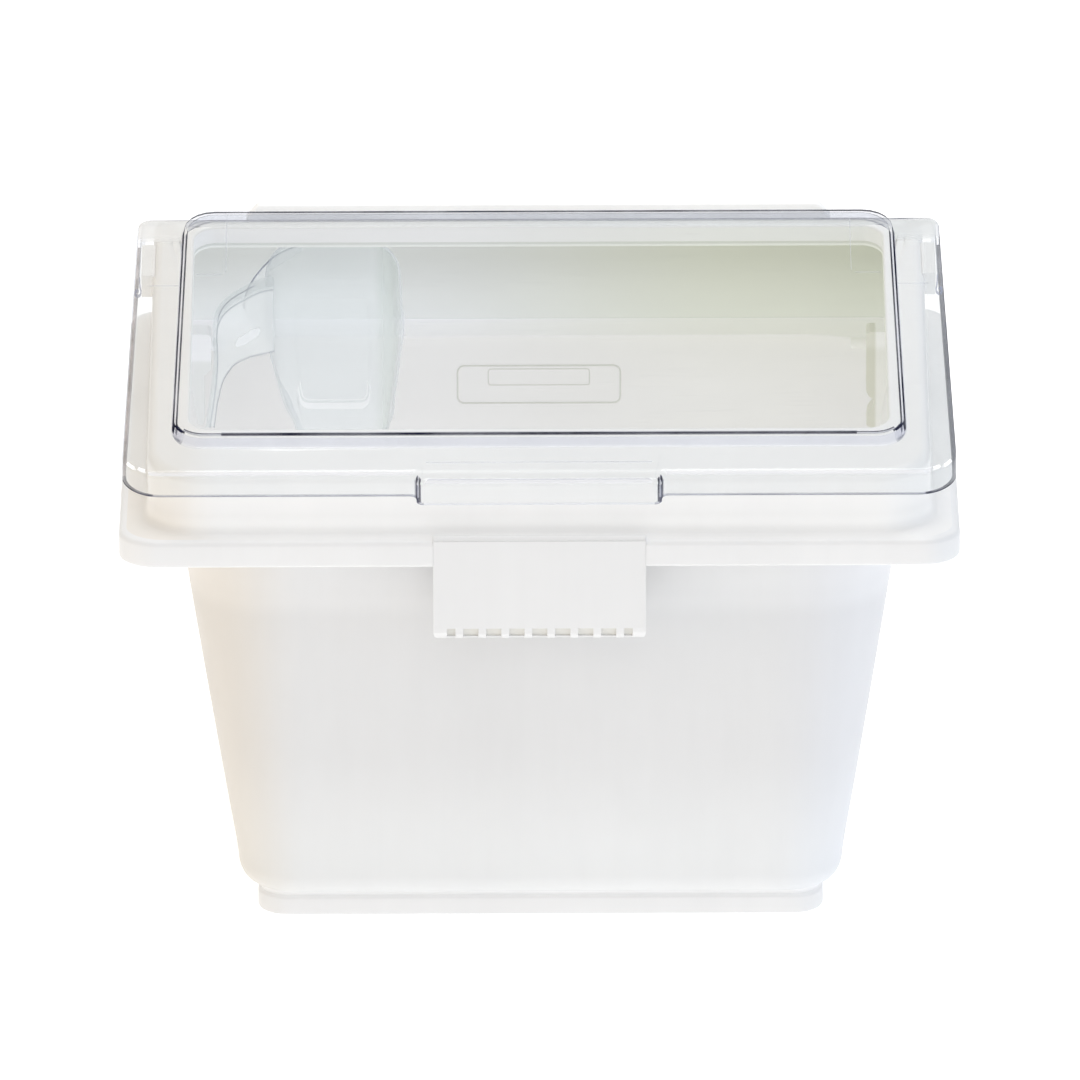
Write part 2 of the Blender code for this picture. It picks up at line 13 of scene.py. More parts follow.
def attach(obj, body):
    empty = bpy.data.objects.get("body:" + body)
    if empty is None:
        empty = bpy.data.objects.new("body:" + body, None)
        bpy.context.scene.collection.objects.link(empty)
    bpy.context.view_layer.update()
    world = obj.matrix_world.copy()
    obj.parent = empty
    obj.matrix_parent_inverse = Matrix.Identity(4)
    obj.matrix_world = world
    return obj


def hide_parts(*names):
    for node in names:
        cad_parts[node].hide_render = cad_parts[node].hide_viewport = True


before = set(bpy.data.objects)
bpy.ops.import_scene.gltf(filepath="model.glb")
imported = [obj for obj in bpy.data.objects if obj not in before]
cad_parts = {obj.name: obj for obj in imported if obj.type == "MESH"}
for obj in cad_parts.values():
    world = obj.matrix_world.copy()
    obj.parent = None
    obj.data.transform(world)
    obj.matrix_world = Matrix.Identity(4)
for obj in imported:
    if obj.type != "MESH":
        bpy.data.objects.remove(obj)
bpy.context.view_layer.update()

# ============================================================ shared sizes
MM = 0.001
DEPTH = 489.0
SLOPE = math.radians(11.5)       # of the lid and of the hood's roof
SLOPE_Y, SLOPE_Z = 13.0, 366.0   # a point on the lid's plane
LID_UP = (0.0, -math.sin(SLOPE), math.cos(SLOPE))
TUB_TOP = 312.0
PIVOT_Y, PIVOT_Z = 4.4, 317.6    # axis of the latch's roll
PEG_Y, PEG_Z = 376.0, 330.0      # axis of the pegs that carry the scoop

# What each piece belongs to: body, material slot, CAD piece it replaces
LID_ROLE = ("lid_body", "clear_plastic", "clear_lid")
HOOD_ROLE = ("hood_body", "hood_plastic", "hood")
TUB_ROLE = ("tub_body", "tub_plastic", "tub")
LATCH_ROLE = ("latch_body", "latch_plastic", "front_latch")
SCOOP_ROLE = ("scoop_body", "scoop_plastic", "scoop")
SIDES = ((-1, "left"), (1, "right"))


def plane(y):
    """Height of the lid's plane."""
    return SLOPE_Z + (y - SLOPE_Y) * math.tan(SLOPE)


def point(x, y, z):
    return Vector((x * MM, (y - DEPTH / 2.0) * MM, z * MM))


def points(outline):
    return [point(*p) for p in outline]


# ============================================================ shader nodes
def rgba(colour):
    """Opaque colour from a grey value or from red, green and blue."""
    if isinstance(colour, float):
        colour = (colour,) * 3
    return (*colour, 1)


class Graph:
    """Adds nodes to a tree. A node given as a value stands for its first output."""

    def __init__(self, tree):
        self.tree = tree

    def feed(self, socket, value):
        if isinstance(value, bpy.types.Node):
            value = value.outputs[0]
        if isinstance(value, bpy.types.NodeSocket):
            self.tree.links.new(value, socket)
        else:
            socket.default_value = value

    def add(self, kind, *values, **named):
        """Positional values feed the inputs in order, named ones a property or an input."""
        node = self.tree.nodes.new("ShaderNode" + kind)
        node.location = (160 * len(self.tree.nodes) - 1800, 0)
        for socket, value in zip(node.inputs, values):
            self.feed(socket, value)
        for key, value in named.items():
            if hasattr(node, key):
                setattr(node, key, value)
            else:
                self.feed(node.inputs[key.replace("_", " ")], value)
        return node

    def ramp(self, factor, stops, interpolation="LINEAR"):
        """Colour ramp; stops are pairs of position and colour or grey."""
        node = self.add("ValToRGB", factor)
        node.color_ramp.interpolation = interpolation
        elements = node.color_ramp.elements
        while len(elements) > 1:
            elements.remove(elements[-1])
        elements[0].position = stops[0][0]
        elements[0].color = rgba(stops[0][1])
        for position, colour in stops[1:]:
            elements.new(position).color = rgba(colour)
        return node

    def span(self, value, low, high, to=(0.0, 1.0), smooth=False):
        """Maps the range low..high onto the range 'to'."""
        return self.add("MapRange", interpolation_type="SMOOTHSTEP" if smooth else "LINEAR",
                        Value=value, From_Min=low, From_Max=high, To_Min=to[0], To_Max=to[1])

    def blend(self, first, second, factor=1.0, blend_type="MIX"):
        node = self.add("Mix", data_type="RGBA", blend_type=blend_type)
        # inputs 0, 6 and 7 are the factor and the two colours; output 2 is the colour
        for index, value in ((0, factor), (6, first), (7, second)):
            self.feed(node.inputs[index], value)
        return node.outputs[2]


class Material(Graph):
    """A new material whose textures lie in object coordinates."""

    def __init__(self, name):
        self.material = bpy.data.materials.new(name)
        self.material.use_nodes = True
        super().__init__(self.material.node_tree)
        self.tree.nodes.clear()
        self.output = self.add("OutputMaterial")
        self.place = self.add("TexCoord").outputs["Object"]

    def noise(self, scale, detail, roughness=0.5, vector=None):
        return self.add("TexNoise", vector or self.place,
                        Scale=scale, Detail=detail, Roughness=roughness)

    def stretched_noise(self, stretch, detail, roughness=0.5, rotation=(0.0, 0.0, 0.0)):
        mapping = self.add("Mapping", self.place, Scale=stretch, Rotation=rotation)
        return self.noise(scale=1.0, detail=detail, roughness=roughness, vector=mapping)

    def axes(self):
        return self.add("SeparateXYZ", self.place).outputs

    def bump(self, height, strength, distance, under=None):
        node = self.add("Bump", Strength=strength, Distance=distance, Height=height)
        if under:
            self.feed(node.inputs["Normal"], under)
        return node

    def tone(self, colour, coordinate, start, end, tone):
        """Multiplies the colour by a tone that comes in from start to end."""
        amount = self.span(coordinate, start, end, smooth=True)
        return self.blend(colour, rgba(tone), factor=amount, blend_type="MULTIPLY")

    def finish(self, surface, viewport=None):
        self.feed(self.output.inputs["Surface"], surface)
        if viewport:
            self.material.diffuse_color = viewport
        return self.material


def moulded(name, base, rough, sheen=0.35, scratch=0.0, glow=0.0, ends=(), painted_height_light=None, belt=None):
    """Opaque moulded plastic: faint mottling, flow lines, fine texture and a few scuffs.

    ends: (start x, end x, tone) for painted light and shade towards each end: warm and cool tints
    of the side lights, and shade on a face turned from them
    painted_height_light: (start z, end z, tone) for painted light, a brighter tone that comes in
    between the two heights
    belt: (low z, high z, strength) of a band of soft light in an inner corner
    """
    mat = Material(name)
    plastic = mat.add("BsdfPrincipled", Specular_IOR_Level=sheen, Subsurface_Weight=0.08,
                      Subsurface_Radius=(1.0, 0.95, 0.9), Subsurface_Scale=0.004)
    mottle = mat.noise(scale=7.0, detail=4.0, roughness=0.55)
    darker = tuple(c * 0.965 for c in base)
    colour = mat.ramp(mottle, [(0.30, darker), (0.70, base)])
    flow = mat.stretched_noise(stretch=(60.0, 60.0, 2.0), detail=3.0, roughness=0.6)
    flow_tone = mat.ramp(flow, [(0.35, 0.965), (0.65, 1.0)])
    colour = mat.blend(colour, flow_tone, factor=0.35, blend_type="MULTIPLY")
    # painted shade: creases and inner corners darkened by ambient occlusion
    occlusion = mat.add("AmbientOcclusion", samples=8, only_local=True, Distance=0.012)
    painted_crease_shade = mat.ramp(occlusion.outputs["AO"], [(0.0, (0.80, 0.80, 0.79)), (0.75, 1.0)])
    colour = mat.blend(colour, painted_crease_shade, factor=0.35, blend_type="MULTIPLY")
    # painted light and shade: warm and cool side-light tints and shade, laid on towards each end by
    # x
    if ends:
        across = mat.axes()["X"]
        for start, end, tone in ends:
            colour = mat.tone(colour, across, start, end, tone)
    # painted light: the plastic brightens between the two heights
    if painted_height_light:
        colour = mat.tone(colour, mat.axes()["Z"], *painted_height_light)
    mat.feed(plastic.inputs["Base Color"], colour)
    # painted light: glow and belt make the plastic glow by emission, evenly or in a band
    strength = glow
    if belt:
        low, high, peak = belt
        height = mat.span(mat.axes()["Z"], low, high)
        stops = [(0.0, 0.0), (0.25, peak * 0.75), (0.45, peak), (1.0, 0.0)]
        strength = mat.ramp(height, stops, "EASE")
    if strength:
        mat.feed(plastic.inputs["Emission Color"], colour)
        mat.feed(plastic.inputs["Emission Strength"], strength)
    handling = mat.noise(scale=26.0, detail=5.0, roughness=0.6)
    roughness = mat.ramp(handling, [(0.3, rough - 0.06), (0.75, rough + 0.08)])
    mat.feed(plastic.inputs["Roughness"], roughness)
    # fine grain over a slow wave of sink marks
    grain = mat.noise(scale=1500.0, detail=2.0)
    normal = mat.bump(grain, strength=0.12, distance=0.00012)
    wave = mat.noise(scale=9.0, detail=1.0, roughness=0.4)
    normal = mat.bump(wave, strength=0.12, distance=0.0025, under=normal)
    if scratch > 0:
        marks = mat.stretched_noise(stretch=(14.0, 420.0, 420.0), detail=2.0,
                                    rotation=(0.3, 0.2, 0.5))
        marks = mat.ramp(marks, [(0.70, 0.0), (0.78, 1.0)])
        normal = mat.bump(marks, strength=scratch, distance=0.00015, under=normal)
    mat.feed(plastic.inputs["Normal"], normal)
    return mat.finish(plastic, viewport=rgba(base))


def let_light_through(mat, shader):
    """Shadow and diffuse rays pass a clear moulding almost unhindered."""
    rays = mat.add("LightPath").outputs
    passing = mat.add("Math", rays["Is Shadow Ray"], rays["Is Diffuse Ray"], operation="MAXIMUM")
    opening = mat.add("BsdfTransparent", Color=(0.985, 0.988, 0.99, 1))
    return mat.add("MixShader", passing, shader, opening)


def add_glow(mat, shader, colour, glow):
    """Adds a painted glow by emission, for the light that milky plastic passes on from its far
    side.
    """
    return mat.add("AddShader", shader, mat.add("Emission", Color=colour, Strength=glow))


def add_painted_haze(mat, body, scatter, rubs, diffuse):
    """Paints a pale haze of reflected light on the sheet's rear and side margins, with a cooler
    tint of the side light on the right.
    """
    axes = mat.axes()
    rear = mat.span(axes["Y"], low=0.080, high=0.086, to=(0.0, 0.60), smooth=True)
    off_centre = mat.add("Math", axes["X"], operation="ABSOLUTE")
    side = mat.span(off_centre, low=0.2765, high=0.2800, to=(0.0, 0.22), smooth=True)
    haze = mat.add("Math", side, rear, operation="MAXIMUM")
    mat.feed(scatter.inputs[0], mat.add("Math", rubs, haze, operation="ADD"))
    rightward = mat.span(axes["X"], low=-0.05, high=0.05)
    colour = mat.blend(rgba(body), rgba((0.76, 0.78, 0.785)), factor=rightward)
    mat.feed(diffuse.inputs["Color"], colour)


def clear(name, tint=(0.976, 0.981, 0.983), body=(0.90, 0.92, 0.95), body_amount=0.02,
          gloss=0.75, edge=(0.035, 0.045, 0.13), edge_from=0.80, edge_to=0.985, edge_amount=1.0,
          scuffed=True, glow=0.0, painted_haze=False, shade=None):
    """Clear plastic: see-through on the flat, mirror-like at a slant, dark seen edge on.

    body and body_amount: colour and share of the light the sheet scatters
    edge_from, edge_to: how far a face turns away while the edge colour comes in
    shade: (start x, end x, colour) of a darker upright stripe
    """
    mat = Material(name)
    thickness = mat.noise(scale=5.0, detail=3.0)
    deeper = tuple(c * 0.985 for c in tint)
    through = mat.ramp(thickness, [(0.35, deeper), (0.65, tint)])
    if shade:
        start, end, colour = shade
        across = mat.span(mat.axes()["X"], start, end)
        stripe = mat.ramp(across, [(0.0, 0.0), (0.45, 0.85), (0.75, 1.0), (1.0, 0.0)], "EASE")
        through = mat.blend(through, rgba(colour), factor=stripe)
    transparent = mat.add("BsdfTransparent", Color=through)
    diffuse = mat.add("BsdfDiffuse", Color=rgba(body))
    cloud = add_glow(mat, diffuse, rgba(body), glow) if glow > 0 else diffuse
    scatter = mat.add("MixShader", body_amount, transparent, cloud)
    if scuffed:
        # fine rub marks scatter a little more light
        rubs = mat.stretched_noise(stretch=(30.0, 600.0, 600.0), detail=2.0,
                                   rotation=(0.0, 0.0, 0.35))
        rubs = mat.ramp(rubs, [(0.55, body_amount), (0.80, body_amount + 0.02)])
        mat.feed(scatter.inputs[0], rubs)
        if painted_haze:
            add_painted_haze(mat, body, scatter, rubs, diffuse)
    wave = mat.noise(scale=16.0, detail=1.0)
    normal = mat.bump(wave, strength=0.08, distance=0.002)
    mirror = mat.add("BsdfGlossy", Roughness=0.05, Color=(0.96, 0.97, 1.0, 1), Normal=normal)
    fresnel = mat.add("Fresnel", IOR=1.45, Normal=normal)
    # only faces turned to the viewer reflect
    backfacing = mat.add("NewGeometry").outputs["Backfacing"]
    front_gloss = mat.add("Math", backfacing, -gloss, gloss, operation="MULTIPLY_ADD")
    reflection = mat.add("Math", fresnel, front_gloss, operation="MULTIPLY")
    surface = mat.add("MixShader", reflection, scatter, mirror)
    # painted refraction: faces seen edge on turn to the dark edge colour
    facing = mat.add("LayerWeight", Blend=0.5).outputs["Facing"]
    edge_on = mat.ramp(facing, [(edge_from, 0.0), (edge_to, edge_amount)])
    rim = mat.add("BsdfPrincipled", Roughness=0.15, Base_Color=rgba(edge))
    surface = mat.add("MixShader", edge_on, surface, rim)
    return mat.finish(let_light_through(mat, surface), viewport=(*tint, 0.3))


def edge_line(name, colour, amount, spread=2.2, scale=22.0, glow=0.0):
    """Edge of a clear moulding, painted in patches along its length with the dark and pale lines
    that refraction and reflection make there.

    amount: how much of it is coloured rather than see-through
    spread, scale: brightness step between the patches, and how fine they are
    """
    mat = Material(name)
    patches = mat.noise(scale=scale, detail=3.0)
    lighter = tuple(min(1.0, c * spread + 0.015) for c in colour)
    tones = mat.ramp(patches, [(0.40, colour), (0.74, lighter)])
    cover = mat.add("BsdfDiffuse", Roughness=0.2, Color=tones)
    if glow > 0:
        cover = add_glow(mat, cover, tones, glow)
    see_through = mat.add("BsdfTransparent", Color=(0.94, 0.95, 0.98, 1))
    share = mat.ramp(patches, [(0.35, min(1.0, amount * 1.12)), (0.75, amount * 0.78)])
    surface = mat.add("MixShader", share, see_through, cover)
    return mat.finish(let_light_through(mat, surface), viewport=(*colour, amount))


def inside(name, base, far, glow, levels=None, left=1.0):
    """Inner side of a white moulding, with a painted glow by emission standing in for the light
    through the thin wall.

    far: colour of the painted shade towards the right and the top
    levels: (z, brightness, warmth of the blue) steps of painted light and shade up the wall
    left: painted brightness of the left end, relative to the rest
    """
    headroom = 0.7  # keeps the level colours below white; scaled back afterwards
    mat = Material(name)
    plastic = mat.add("BsdfPrincipled", Roughness=0.5, Specular_IOR_Level=0.3)
    axes = mat.axes()
    # painted shade: towards the right and the top the colour turns to the far tone
    rightward = mat.span(axes["X"], low=-0.10, high=0.16, smooth=True)
    upward = mat.span(axes["Z"], low=0.255, high=0.375, smooth=True)
    upward = mat.add("Math", upward, 0.72, 0.28, operation="MULTIPLY_ADD")
    shift = mat.add("Math", rightward, upward, operation="MULTIPLY")
    colour = mat.blend(rgba(base), rgba(far), factor=shift)
    mottle = mat.ramp(mat.noise(scale=6.0, detail=4.0), [(0.3, 0.97), (0.7, 1.0)])
    draw_lines = mat.stretched_noise(stretch=(3.0, 3.0, 70.0), detail=3.0)
    draw_lines = mat.ramp(draw_lines, [(0.3, 0.985), (0.7, 1.0)])
    marks = mat.blend(mottle, draw_lines, blend_type="MULTIPLY")
    colour = mat.blend(colour, marks, blend_type="MULTIPLY")
    # painted light and shade: brightness steps up the wall, with the left end set apart
    if levels:
        low, high = levels[0][0], levels[-1][0]
        height = mat.span(axes["Z"], low, high)
        stops = []
        for z, value, blue in levels:
            grey = value * headroom
            stops.append(((z - low) / (high - low), (grey, grey, grey * blue)))
        level = mat.ramp(height, stops)
        gain = mat.span(axes["X"], low=-0.15, high=-0.205, to=(1.0 / headroom, left / headroom))
        level = mat.add("VectorMath", level, operation="SCALE", Scale=gain)
        colour = mat.blend(colour, level, blend_type="MULTIPLY")
    mat.feed(plastic.inputs["Base Color"], colour)
    # painted light: the inner side glows by emission
    mat.feed(plastic.inputs["Emission Color"], colour)
    mat.feed(plastic.inputs["Emission Strength"], glow)
    grain = mat.noise(scale=900.0, detail=2.0)
    mat.feed(plastic.inputs["Normal"], mat.bump(grain, strength=0.1, distance=0.0001))
    return mat.finish(plastic, viewport=rgba(base))


# ============================================================ materials
# painted light on the tub: warm and cool tints of the side lights towards the ends, brighter
# towards the foot, and a band of soft light under the flange
TUB_OUTER = moulded(
    "tub_moulded", base=(0.752, 0.752, 0.756), rough=0.42, scratch=0.12,
    ends=[(-0.165, -0.228, (0.965, 0.915, 0.845)), (0.150, 0.225, (0.98, 0.99, 1.02))],
    painted_height_light=(0.145, 0.035, (1.11, 1.12, 1.12)), belt=(0.240, 0.310, 0.09))
# painted light inside the tub: an emission glow, shade turning olive towards the right and top, and
# a brighter band at the flange's top edge
TUB_INNER = inside(
    "tub_inside", base=(0.846, 0.838, 0.842), far=(0.782, 0.777, 0.724), glow=0.24,
    levels=[(0.200, 1.0, 1.0), (0.300, 1.0, 1.0), (0.3095, 1.04, 1.0), (0.3125, 1.12, 1.03)])
# painted light: the foot in a lighter copy of the tub plastic, with a band of soft light in its
# groove
TUB_FOOT_LIT = moulded("tub_foot_lit_moulded", base=(0.89, 0.89, 0.895), rough=0.42, scratch=0.12,
                   belt=(0.0130, 0.0200, 0.13))
TUB_PLATE = inside("tub_plate_edge", base=(0.70, 0.70, 0.67), far=(0.66, 0.67, 0.60), glow=0.18)

# painted light on the hood: a warm tint of the left side light at the left end, and a band of soft
# light in the corner above the ledge
HOOD_OUTER = moulded(
    "hood_moulded", base=(0.94, 0.94, 0.94), rough=0.34, scratch=0.10, sheen=0.4,
    belt=(0.3180, 0.3335, 0.075), ends=[(-0.222, -0.262, (0.975, 0.945, 0.905))])
# painted shade: the rim in a darker copy of the hood plastic, with a cooler tint of the right side
# light at its right end and a band of soft light at its top
HOOD_RIM_SHADED = moulded(
    "hood_rim_shaded_moulded", base=(0.865, 0.865, 0.87), rough=0.36, scratch=0.12, sheen=0.4,
    belt=(0.3165, 0.324, 0.10), ends=[(0.272, 0.286, (0.955, 0.965, 0.975))])
# painted light and shade inside the hood: an emission glow, steps of light and shade up the walls,
# shade turning olive towards the right and top, and a brighter left end
HOOD_INNER = inside(
    "hood_inside", base=(0.80, 0.815, 0.82), far=(0.74, 0.76, 0.66), glow=0.17, left=1.07,
    levels=[(0.3132, 1.03, 0.99), (0.3145, 1.135, 1.0), (0.332, 1.08, 0.995),
            (0.347, 0.997, 0.99), (0.362, 0.917, 0.975)])
# painted light and shade around the window opening: the wall glows by emission, the band above the
# bead is a darker shaded copy and the bead a lighter lit copy of the same plastic
OPENING_WALL = inside("hood_opening_wall", base=(0.86, 0.865, 0.88), far=(0.83, 0.84, 0.80),
                      glow=0.17)
OPENING_BEAD_SHADE = inside("hood_opening_bead_shade", base=(0.72, 0.745, 0.73),
                            far=(0.70, 0.72, 0.64), glow=0.14)
OPENING_BEAD_LIT = inside("hood_opening_bead", base=(0.83, 0.85, 0.84), far=(0.80, 0.82, 0.74),
                      glow=0.19)
# painted light: the ridge in a brighter, glowing copy of the hood plastic
HOOD_RIDGE_LIT = moulded("hood_ridge_lit_moulded", base=(0.95, 0.95, 0.95), rough=0.34, scratch=0.10,
                     sheen=0.4, glow=0.12)

LATCH = moulded("latch_moulded", base=(0.84, 0.84, 0.845), rough=0.38, scratch=0.1)
# painted shade: the recessed wall between the latch's ribs in a darker, warmer copy of the latch
# plastic
LATCH_UNDERSIDE_SHADED = moulded("latch_underside_shaded", base=(0.76, 0.75, 0.71), rough=0.5, glow=0.05)
# painted light and shade on the hangers: the glows and the brightening higher up are painted light,
# the olive darkening at the right hanger's inner edge and the warmer tone of the right hanger and
# peg painted shade
HOOK_LEFT = moulded("hook_moulded", base=(0.78, 0.79, 0.79), rough=0.36, glow=0.27,
                    painted_height_light=(0.3190, 0.3230, (1.12, 1.11, 1.14)))
HOOK_RIGHT = moulded("hook_moulded_right", base=(0.83, 0.83, 0.795), rough=0.4, glow=0.22,
                     ends=[(0.2462, 0.2432, (0.80, 0.80, 0.72))],
                     painted_height_light=(0.326, 0.333, (1.10, 1.10, 1.14)))
PEG_RIGHT = moulded("peg_moulded_right", base=(0.82, 0.82, 0.78), rough=0.4, glow=0.24)

# the lid's materials in slot order. Besides plain clear plastic they are painted light: the dark,
# tinted and banded edge lines are painted refraction of the surroundings, the pale crest lines and
# the flare painted highlights, the faint pale sheet on the rear skirt and folds a painted glare,
# and the margin clear plastic with a painted haze of reflected light
LID = {
    "clear": clear("lid_clear"),
    "navy": edge_line("lid_edge_navy", colour=(0.006, 0.007, 0.026), amount=1.0, spread=1.8),
    "line": edge_line("lid_edge_thin", colour=(0.018, 0.021, 0.058), amount=0.82),
    "lilac": edge_line("lid_edge_lilac", colour=(0.55, 0.56, 0.66), amount=0.30, spread=1.2),
    "pale": edge_line("lid_edge_pale", colour=(0.93, 0.93, 0.95), amount=0.55, spread=1.1),
    "brown": edge_line("lid_edge_warm", colour=(0.10, 0.062, 0.060), amount=0.70, spread=2.8,
                       scale=60.0),
    "glare": edge_line("lid_mist", colour=(0.80, 0.81, 0.84), amount=0.12, spread=1.1),
    "margin": clear("lid_clear_margin", body=(0.84, 0.835, 0.82), painted_haze=True),
    "hair": edge_line("lid_edge_hair", colour=(0.12, 0.13, 0.19), amount=0.38, spread=1.6),
    "band": edge_line("lid_edge_band", colour=(0.66, 0.67, 0.73), amount=0.16, spread=1.15),
    "rear_band": edge_line("lid_edge_rear_band", colour=(0.50, 0.51, 0.58), amount=0.22,
                           spread=1.3, scale=9.0),
    "flare": edge_line("lid_flare", colour=(0.97, 0.97, 0.97), amount=0.75, spread=1.0,
                       glow=0.35),
}
LID_SLOTS = list(LID)
LID_MARK = edge_line("lid_mark", colour=(0.70, 0.72, 0.76), amount=0.30, spread=1.2)
LID_RIB = edge_line("lid_rib", colour=(0.62, 0.66, 0.68), amount=0.22, spread=1.3)
# painted refraction: the dark line along the guide hooks
LID_RIB_EDGE = edge_line("lid_rib_edge", colour=(0.16, 0.18, 0.30), amount=0.62, spread=1.8)

# scoop materials: the glows are painted light, the shade stripe a painted shade down the bowl's
# right wall, the dark edge a painted refraction line, and the rim, glint and pale edge materials
# painted highlights
SCOOP = clear(
    "scoop_clear", tint=(0.965, 0.975, 0.98), body=(0.86, 0.90, 0.92), body_amount=0.25,
    gloss=0.7, edge=(0.22, 0.25, 0.28), edge_from=0.62, edge_to=1.0, edge_amount=0.16,
    scuffed=False, glow=0.34, shade=(-0.1215, -0.0985, (0.86, 0.885, 0.865)))
SCOOP_WEB = clear(
    "scoop_web", tint=(0.97, 0.98, 0.985), body=(0.90, 0.92, 0.93), body_amount=0.32,
    gloss=0.6, edge=(0.55, 0.58, 0.60), edge_from=0.7, edge_to=1.0, edge_amount=0.15,
    scuffed=False, glow=0.36)
SCOOP_EDGE = edge_line("scoop_edge", colour=(0.24, 0.26, 0.38), amount=0.40, spread=1.5)
SCOOP_RIM = edge_line("scoop_rim", colour=(0.80, 0.84, 0.85), amount=0.30, spread=1.1, glow=0.25)
SCOOP_GLINT = edge_line("scoop_glint", colour=(0.93, 0.94, 0.95), amount=0.55, spread=1.05,
                        glow=0.30)
SCOOP_PALE = edge_line("scoop_edge_pale", colour=(0.66, 0.69, 0.68), amount=0.26, spread=1.2,
                       glow=0.06)


# ============================================================ outlines
def arc(centre_u, centre_v, radius, start, end, steps):
    """Points on an arc; angles in degrees."""
    result = []
    for k in range(steps + 1):
        angle = math.radians(start + (end - start) * k / steps)
        result.append((centre_u + radius * math.cos(angle), centre_v + radius * math.sin(angle)))
    return result


def circle(centre_u, centre_v, radius, count):
    angles = [2 * math.pi * k / count for k in range(count)]
    return [(centre_u + radius * math.cos(a), centre_v + radius * math.sin(a)) for a in angles]


def quarter(steps, first=1):
    """(1 - cos, sin) up a quarter turn: how far an edge has gone inward, and how far up."""
    angles = [math.pi / 2 * k / steps for k in range(first, steps + 1)]
    return [(1 - math.cos(a), math.sin(a)) for a in angles]


def mirrored(outline):
    return [(-x, y) for x, y in reversed(outline)]


def smooth_curve(path, steps):
    """Curve through every point of the path, with a number of steps per span."""
    result = []
    for i in range(len(path) - 1):
        p0, p1, p2 = path[max(i - 1, 0)], path[i], path[i + 1]
        p3 = path[min(i + 2, len(path) - 1)]
        for k in range(steps):
            t = k / steps
            result.append(tuple(
                0.5 * (2 * p1[c] + (p2[c] - p0[c]) * t
                       + (2 * p0[c] - 5 * p1[c] + 4 * p2[c] - p3[c]) * t * t
                       + (3 * p1[c] - p0[c] - 3 * p2[c] + p3[c]) * t ** 3) for c in (0, 1)))
    result.append(path[-1])
    return result


def offset(path, distance):
    """The path moved sideways, to the left of its direction of travel."""
    result = []
    for i, (u, v) in enumerate(path):
        before = path[max(i - 1, 0)]
        after = path[min(i + 1, len(path) - 1)]
        du, dv = after[0] - before[0], after[1] - before[1]
        length = math.hypot(du, dv)
        result.append((u - dv / length * distance, v + du / length * distance))
    return result


def ribbon(path, half_width):
    """Closed outline that follows the path on both sides."""
    return offset(path, half_width) + offset(path, -half_width)[::-1]


def soft_corners(polygon, radii, steps=6):
    """Rounds the corners of a polygon; radii is one radius or one per corner."""
    result = []
    count = len(polygon)
    for i in range(count):
        corner = Vector(polygon[i])
        back = Vector(polygon[i - 1]) - corner
        ahead = Vector(polygon[(i + 1) % count]) - corner
        radius = radii[i] if isinstance(radii, list) else radii
        back_length, ahead_length = back.length, ahead.length
        back.normalize()
        ahead.normalize()
        angle = back.angle(ahead)
        if radius <= 0.01 or angle > math.radians(176):
            result.append(tuple(corner))
            continue
        # a short side limits the radius
        reach = min(radius / math.tan(angle / 2), back_length * 0.48, ahead_length * 0.48)
        fitted = reach * math.tan(angle / 2)
        centre = corner + (back + ahead).normalized() * (fitted / math.sin(angle / 2))
        start = corner + back * reach - centre
        end = corner + ahead * reach - centre
        turn = start.angle(end)
        if start.x * end.y - start.y * end.x <= 0:
            turn = -turn
        for k in range(steps + 1):
            a = turn * k / steps
            arm = Vector((start.x * math.cos(a) - start.y * math.sin(a),
                          start.x * math.sin(a) + start.y * math.cos(a)))
            result.append(tuple(centre + arm))
    return result


# ============================================================ meshes
def build(name, bm, materials, role, sharp=0.0):
    """Object from a bmesh; edges above the angle 'sharp' (degrees) stay sharp."""
    bmesh.ops.recalc_face_normals(bm, faces=bm.faces[:])
    mesh = bpy.data.meshes.new(name)
    ob = link_mesh(mesh, name, bm)
    for material in materials:
        mesh.materials.append(material)
    mesh.shade_smooth()
    if sharp:
        mesh.set_sharp_from_angle(angle=math.radians(sharp))
    body, slot, _ = role
    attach(ob, body)
    return ob


def link_mesh(mesh, name, bm):
    bm.to_mesh(mesh)
    bm.free()
    ob = bpy.data.objects.new(name, mesh)
    bpy.context.scene.collection.objects.link(ob)
    return ob


def round_edges(ob, width, segments=3, angle=25):
    bevel = ob.modifiers.new("round", "BEVEL")
    bevel.width = width * MM
    bevel.segments = segments
    bevel.limit_method = "ANGLE"
    bevel.angle_limit = math.radians(angle)
    ob.modifiers.new("wn", "WEIGHTED_NORMAL")


def part(name, bm, materials, role, sharp=0.0, bevel=0.0, **bevel_options):
    """A finished piece, with rounded edges where a bevel width is given."""
    ob = build(name, bm, materials, role, sharp)
    if bevel:
        round_edges(ob, bevel, **bevel_options)
    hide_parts(role[2])


def skin(bm, rings, slots, close=False):
    """Joins rings of points with quads; slots holds the material of the band after each ring."""
    loops = [[bm.verts.new(p) for p in ring] for ring in rings]
    count = len(loops[0])
    pairs = list(zip(loops, loops[1:]))
    if close:
        pairs.append((loops[-1], loops[0]))
    for (a, b), slot in zip(pairs, slots):
        for i in range(count):
            j = (i + 1) % count
            bm.faces.new((a[i], a[j], b[j], b[i])).material_index = slot
    return loops


def skin_sections(bm, sections, close):
    """Skins (slot, rings) sections given in millimetres."""
    rings = [points(ring) for _, group in sections for ring in group]
    slots = [slot for slot, group in sections for _ in group]
    return skin(bm, rings, slots, close)


def add_prism(bm, outline, axis, start, end):
    """Prism along x with a (y, z) outline, or along y with an (x, z) outline."""
    if axis == "x":
        ends = [[point(t, u, v) for u, v in outline] for t in (start, end)]
    else:
        ends = [[point(u, t, v) for u, v in outline] for t in (start, end)]
    near, far = skin(bm, ends, [0])
    bm.faces.new(near[::-1])
    bm.faces.new(far)


def prism_part(name, outline, axis, start, end, material, role, **finish):
    bm = bmesh.new()
    add_prism(bm, outline, axis, start, end)
    part(name, bm, [material], role, **finish)


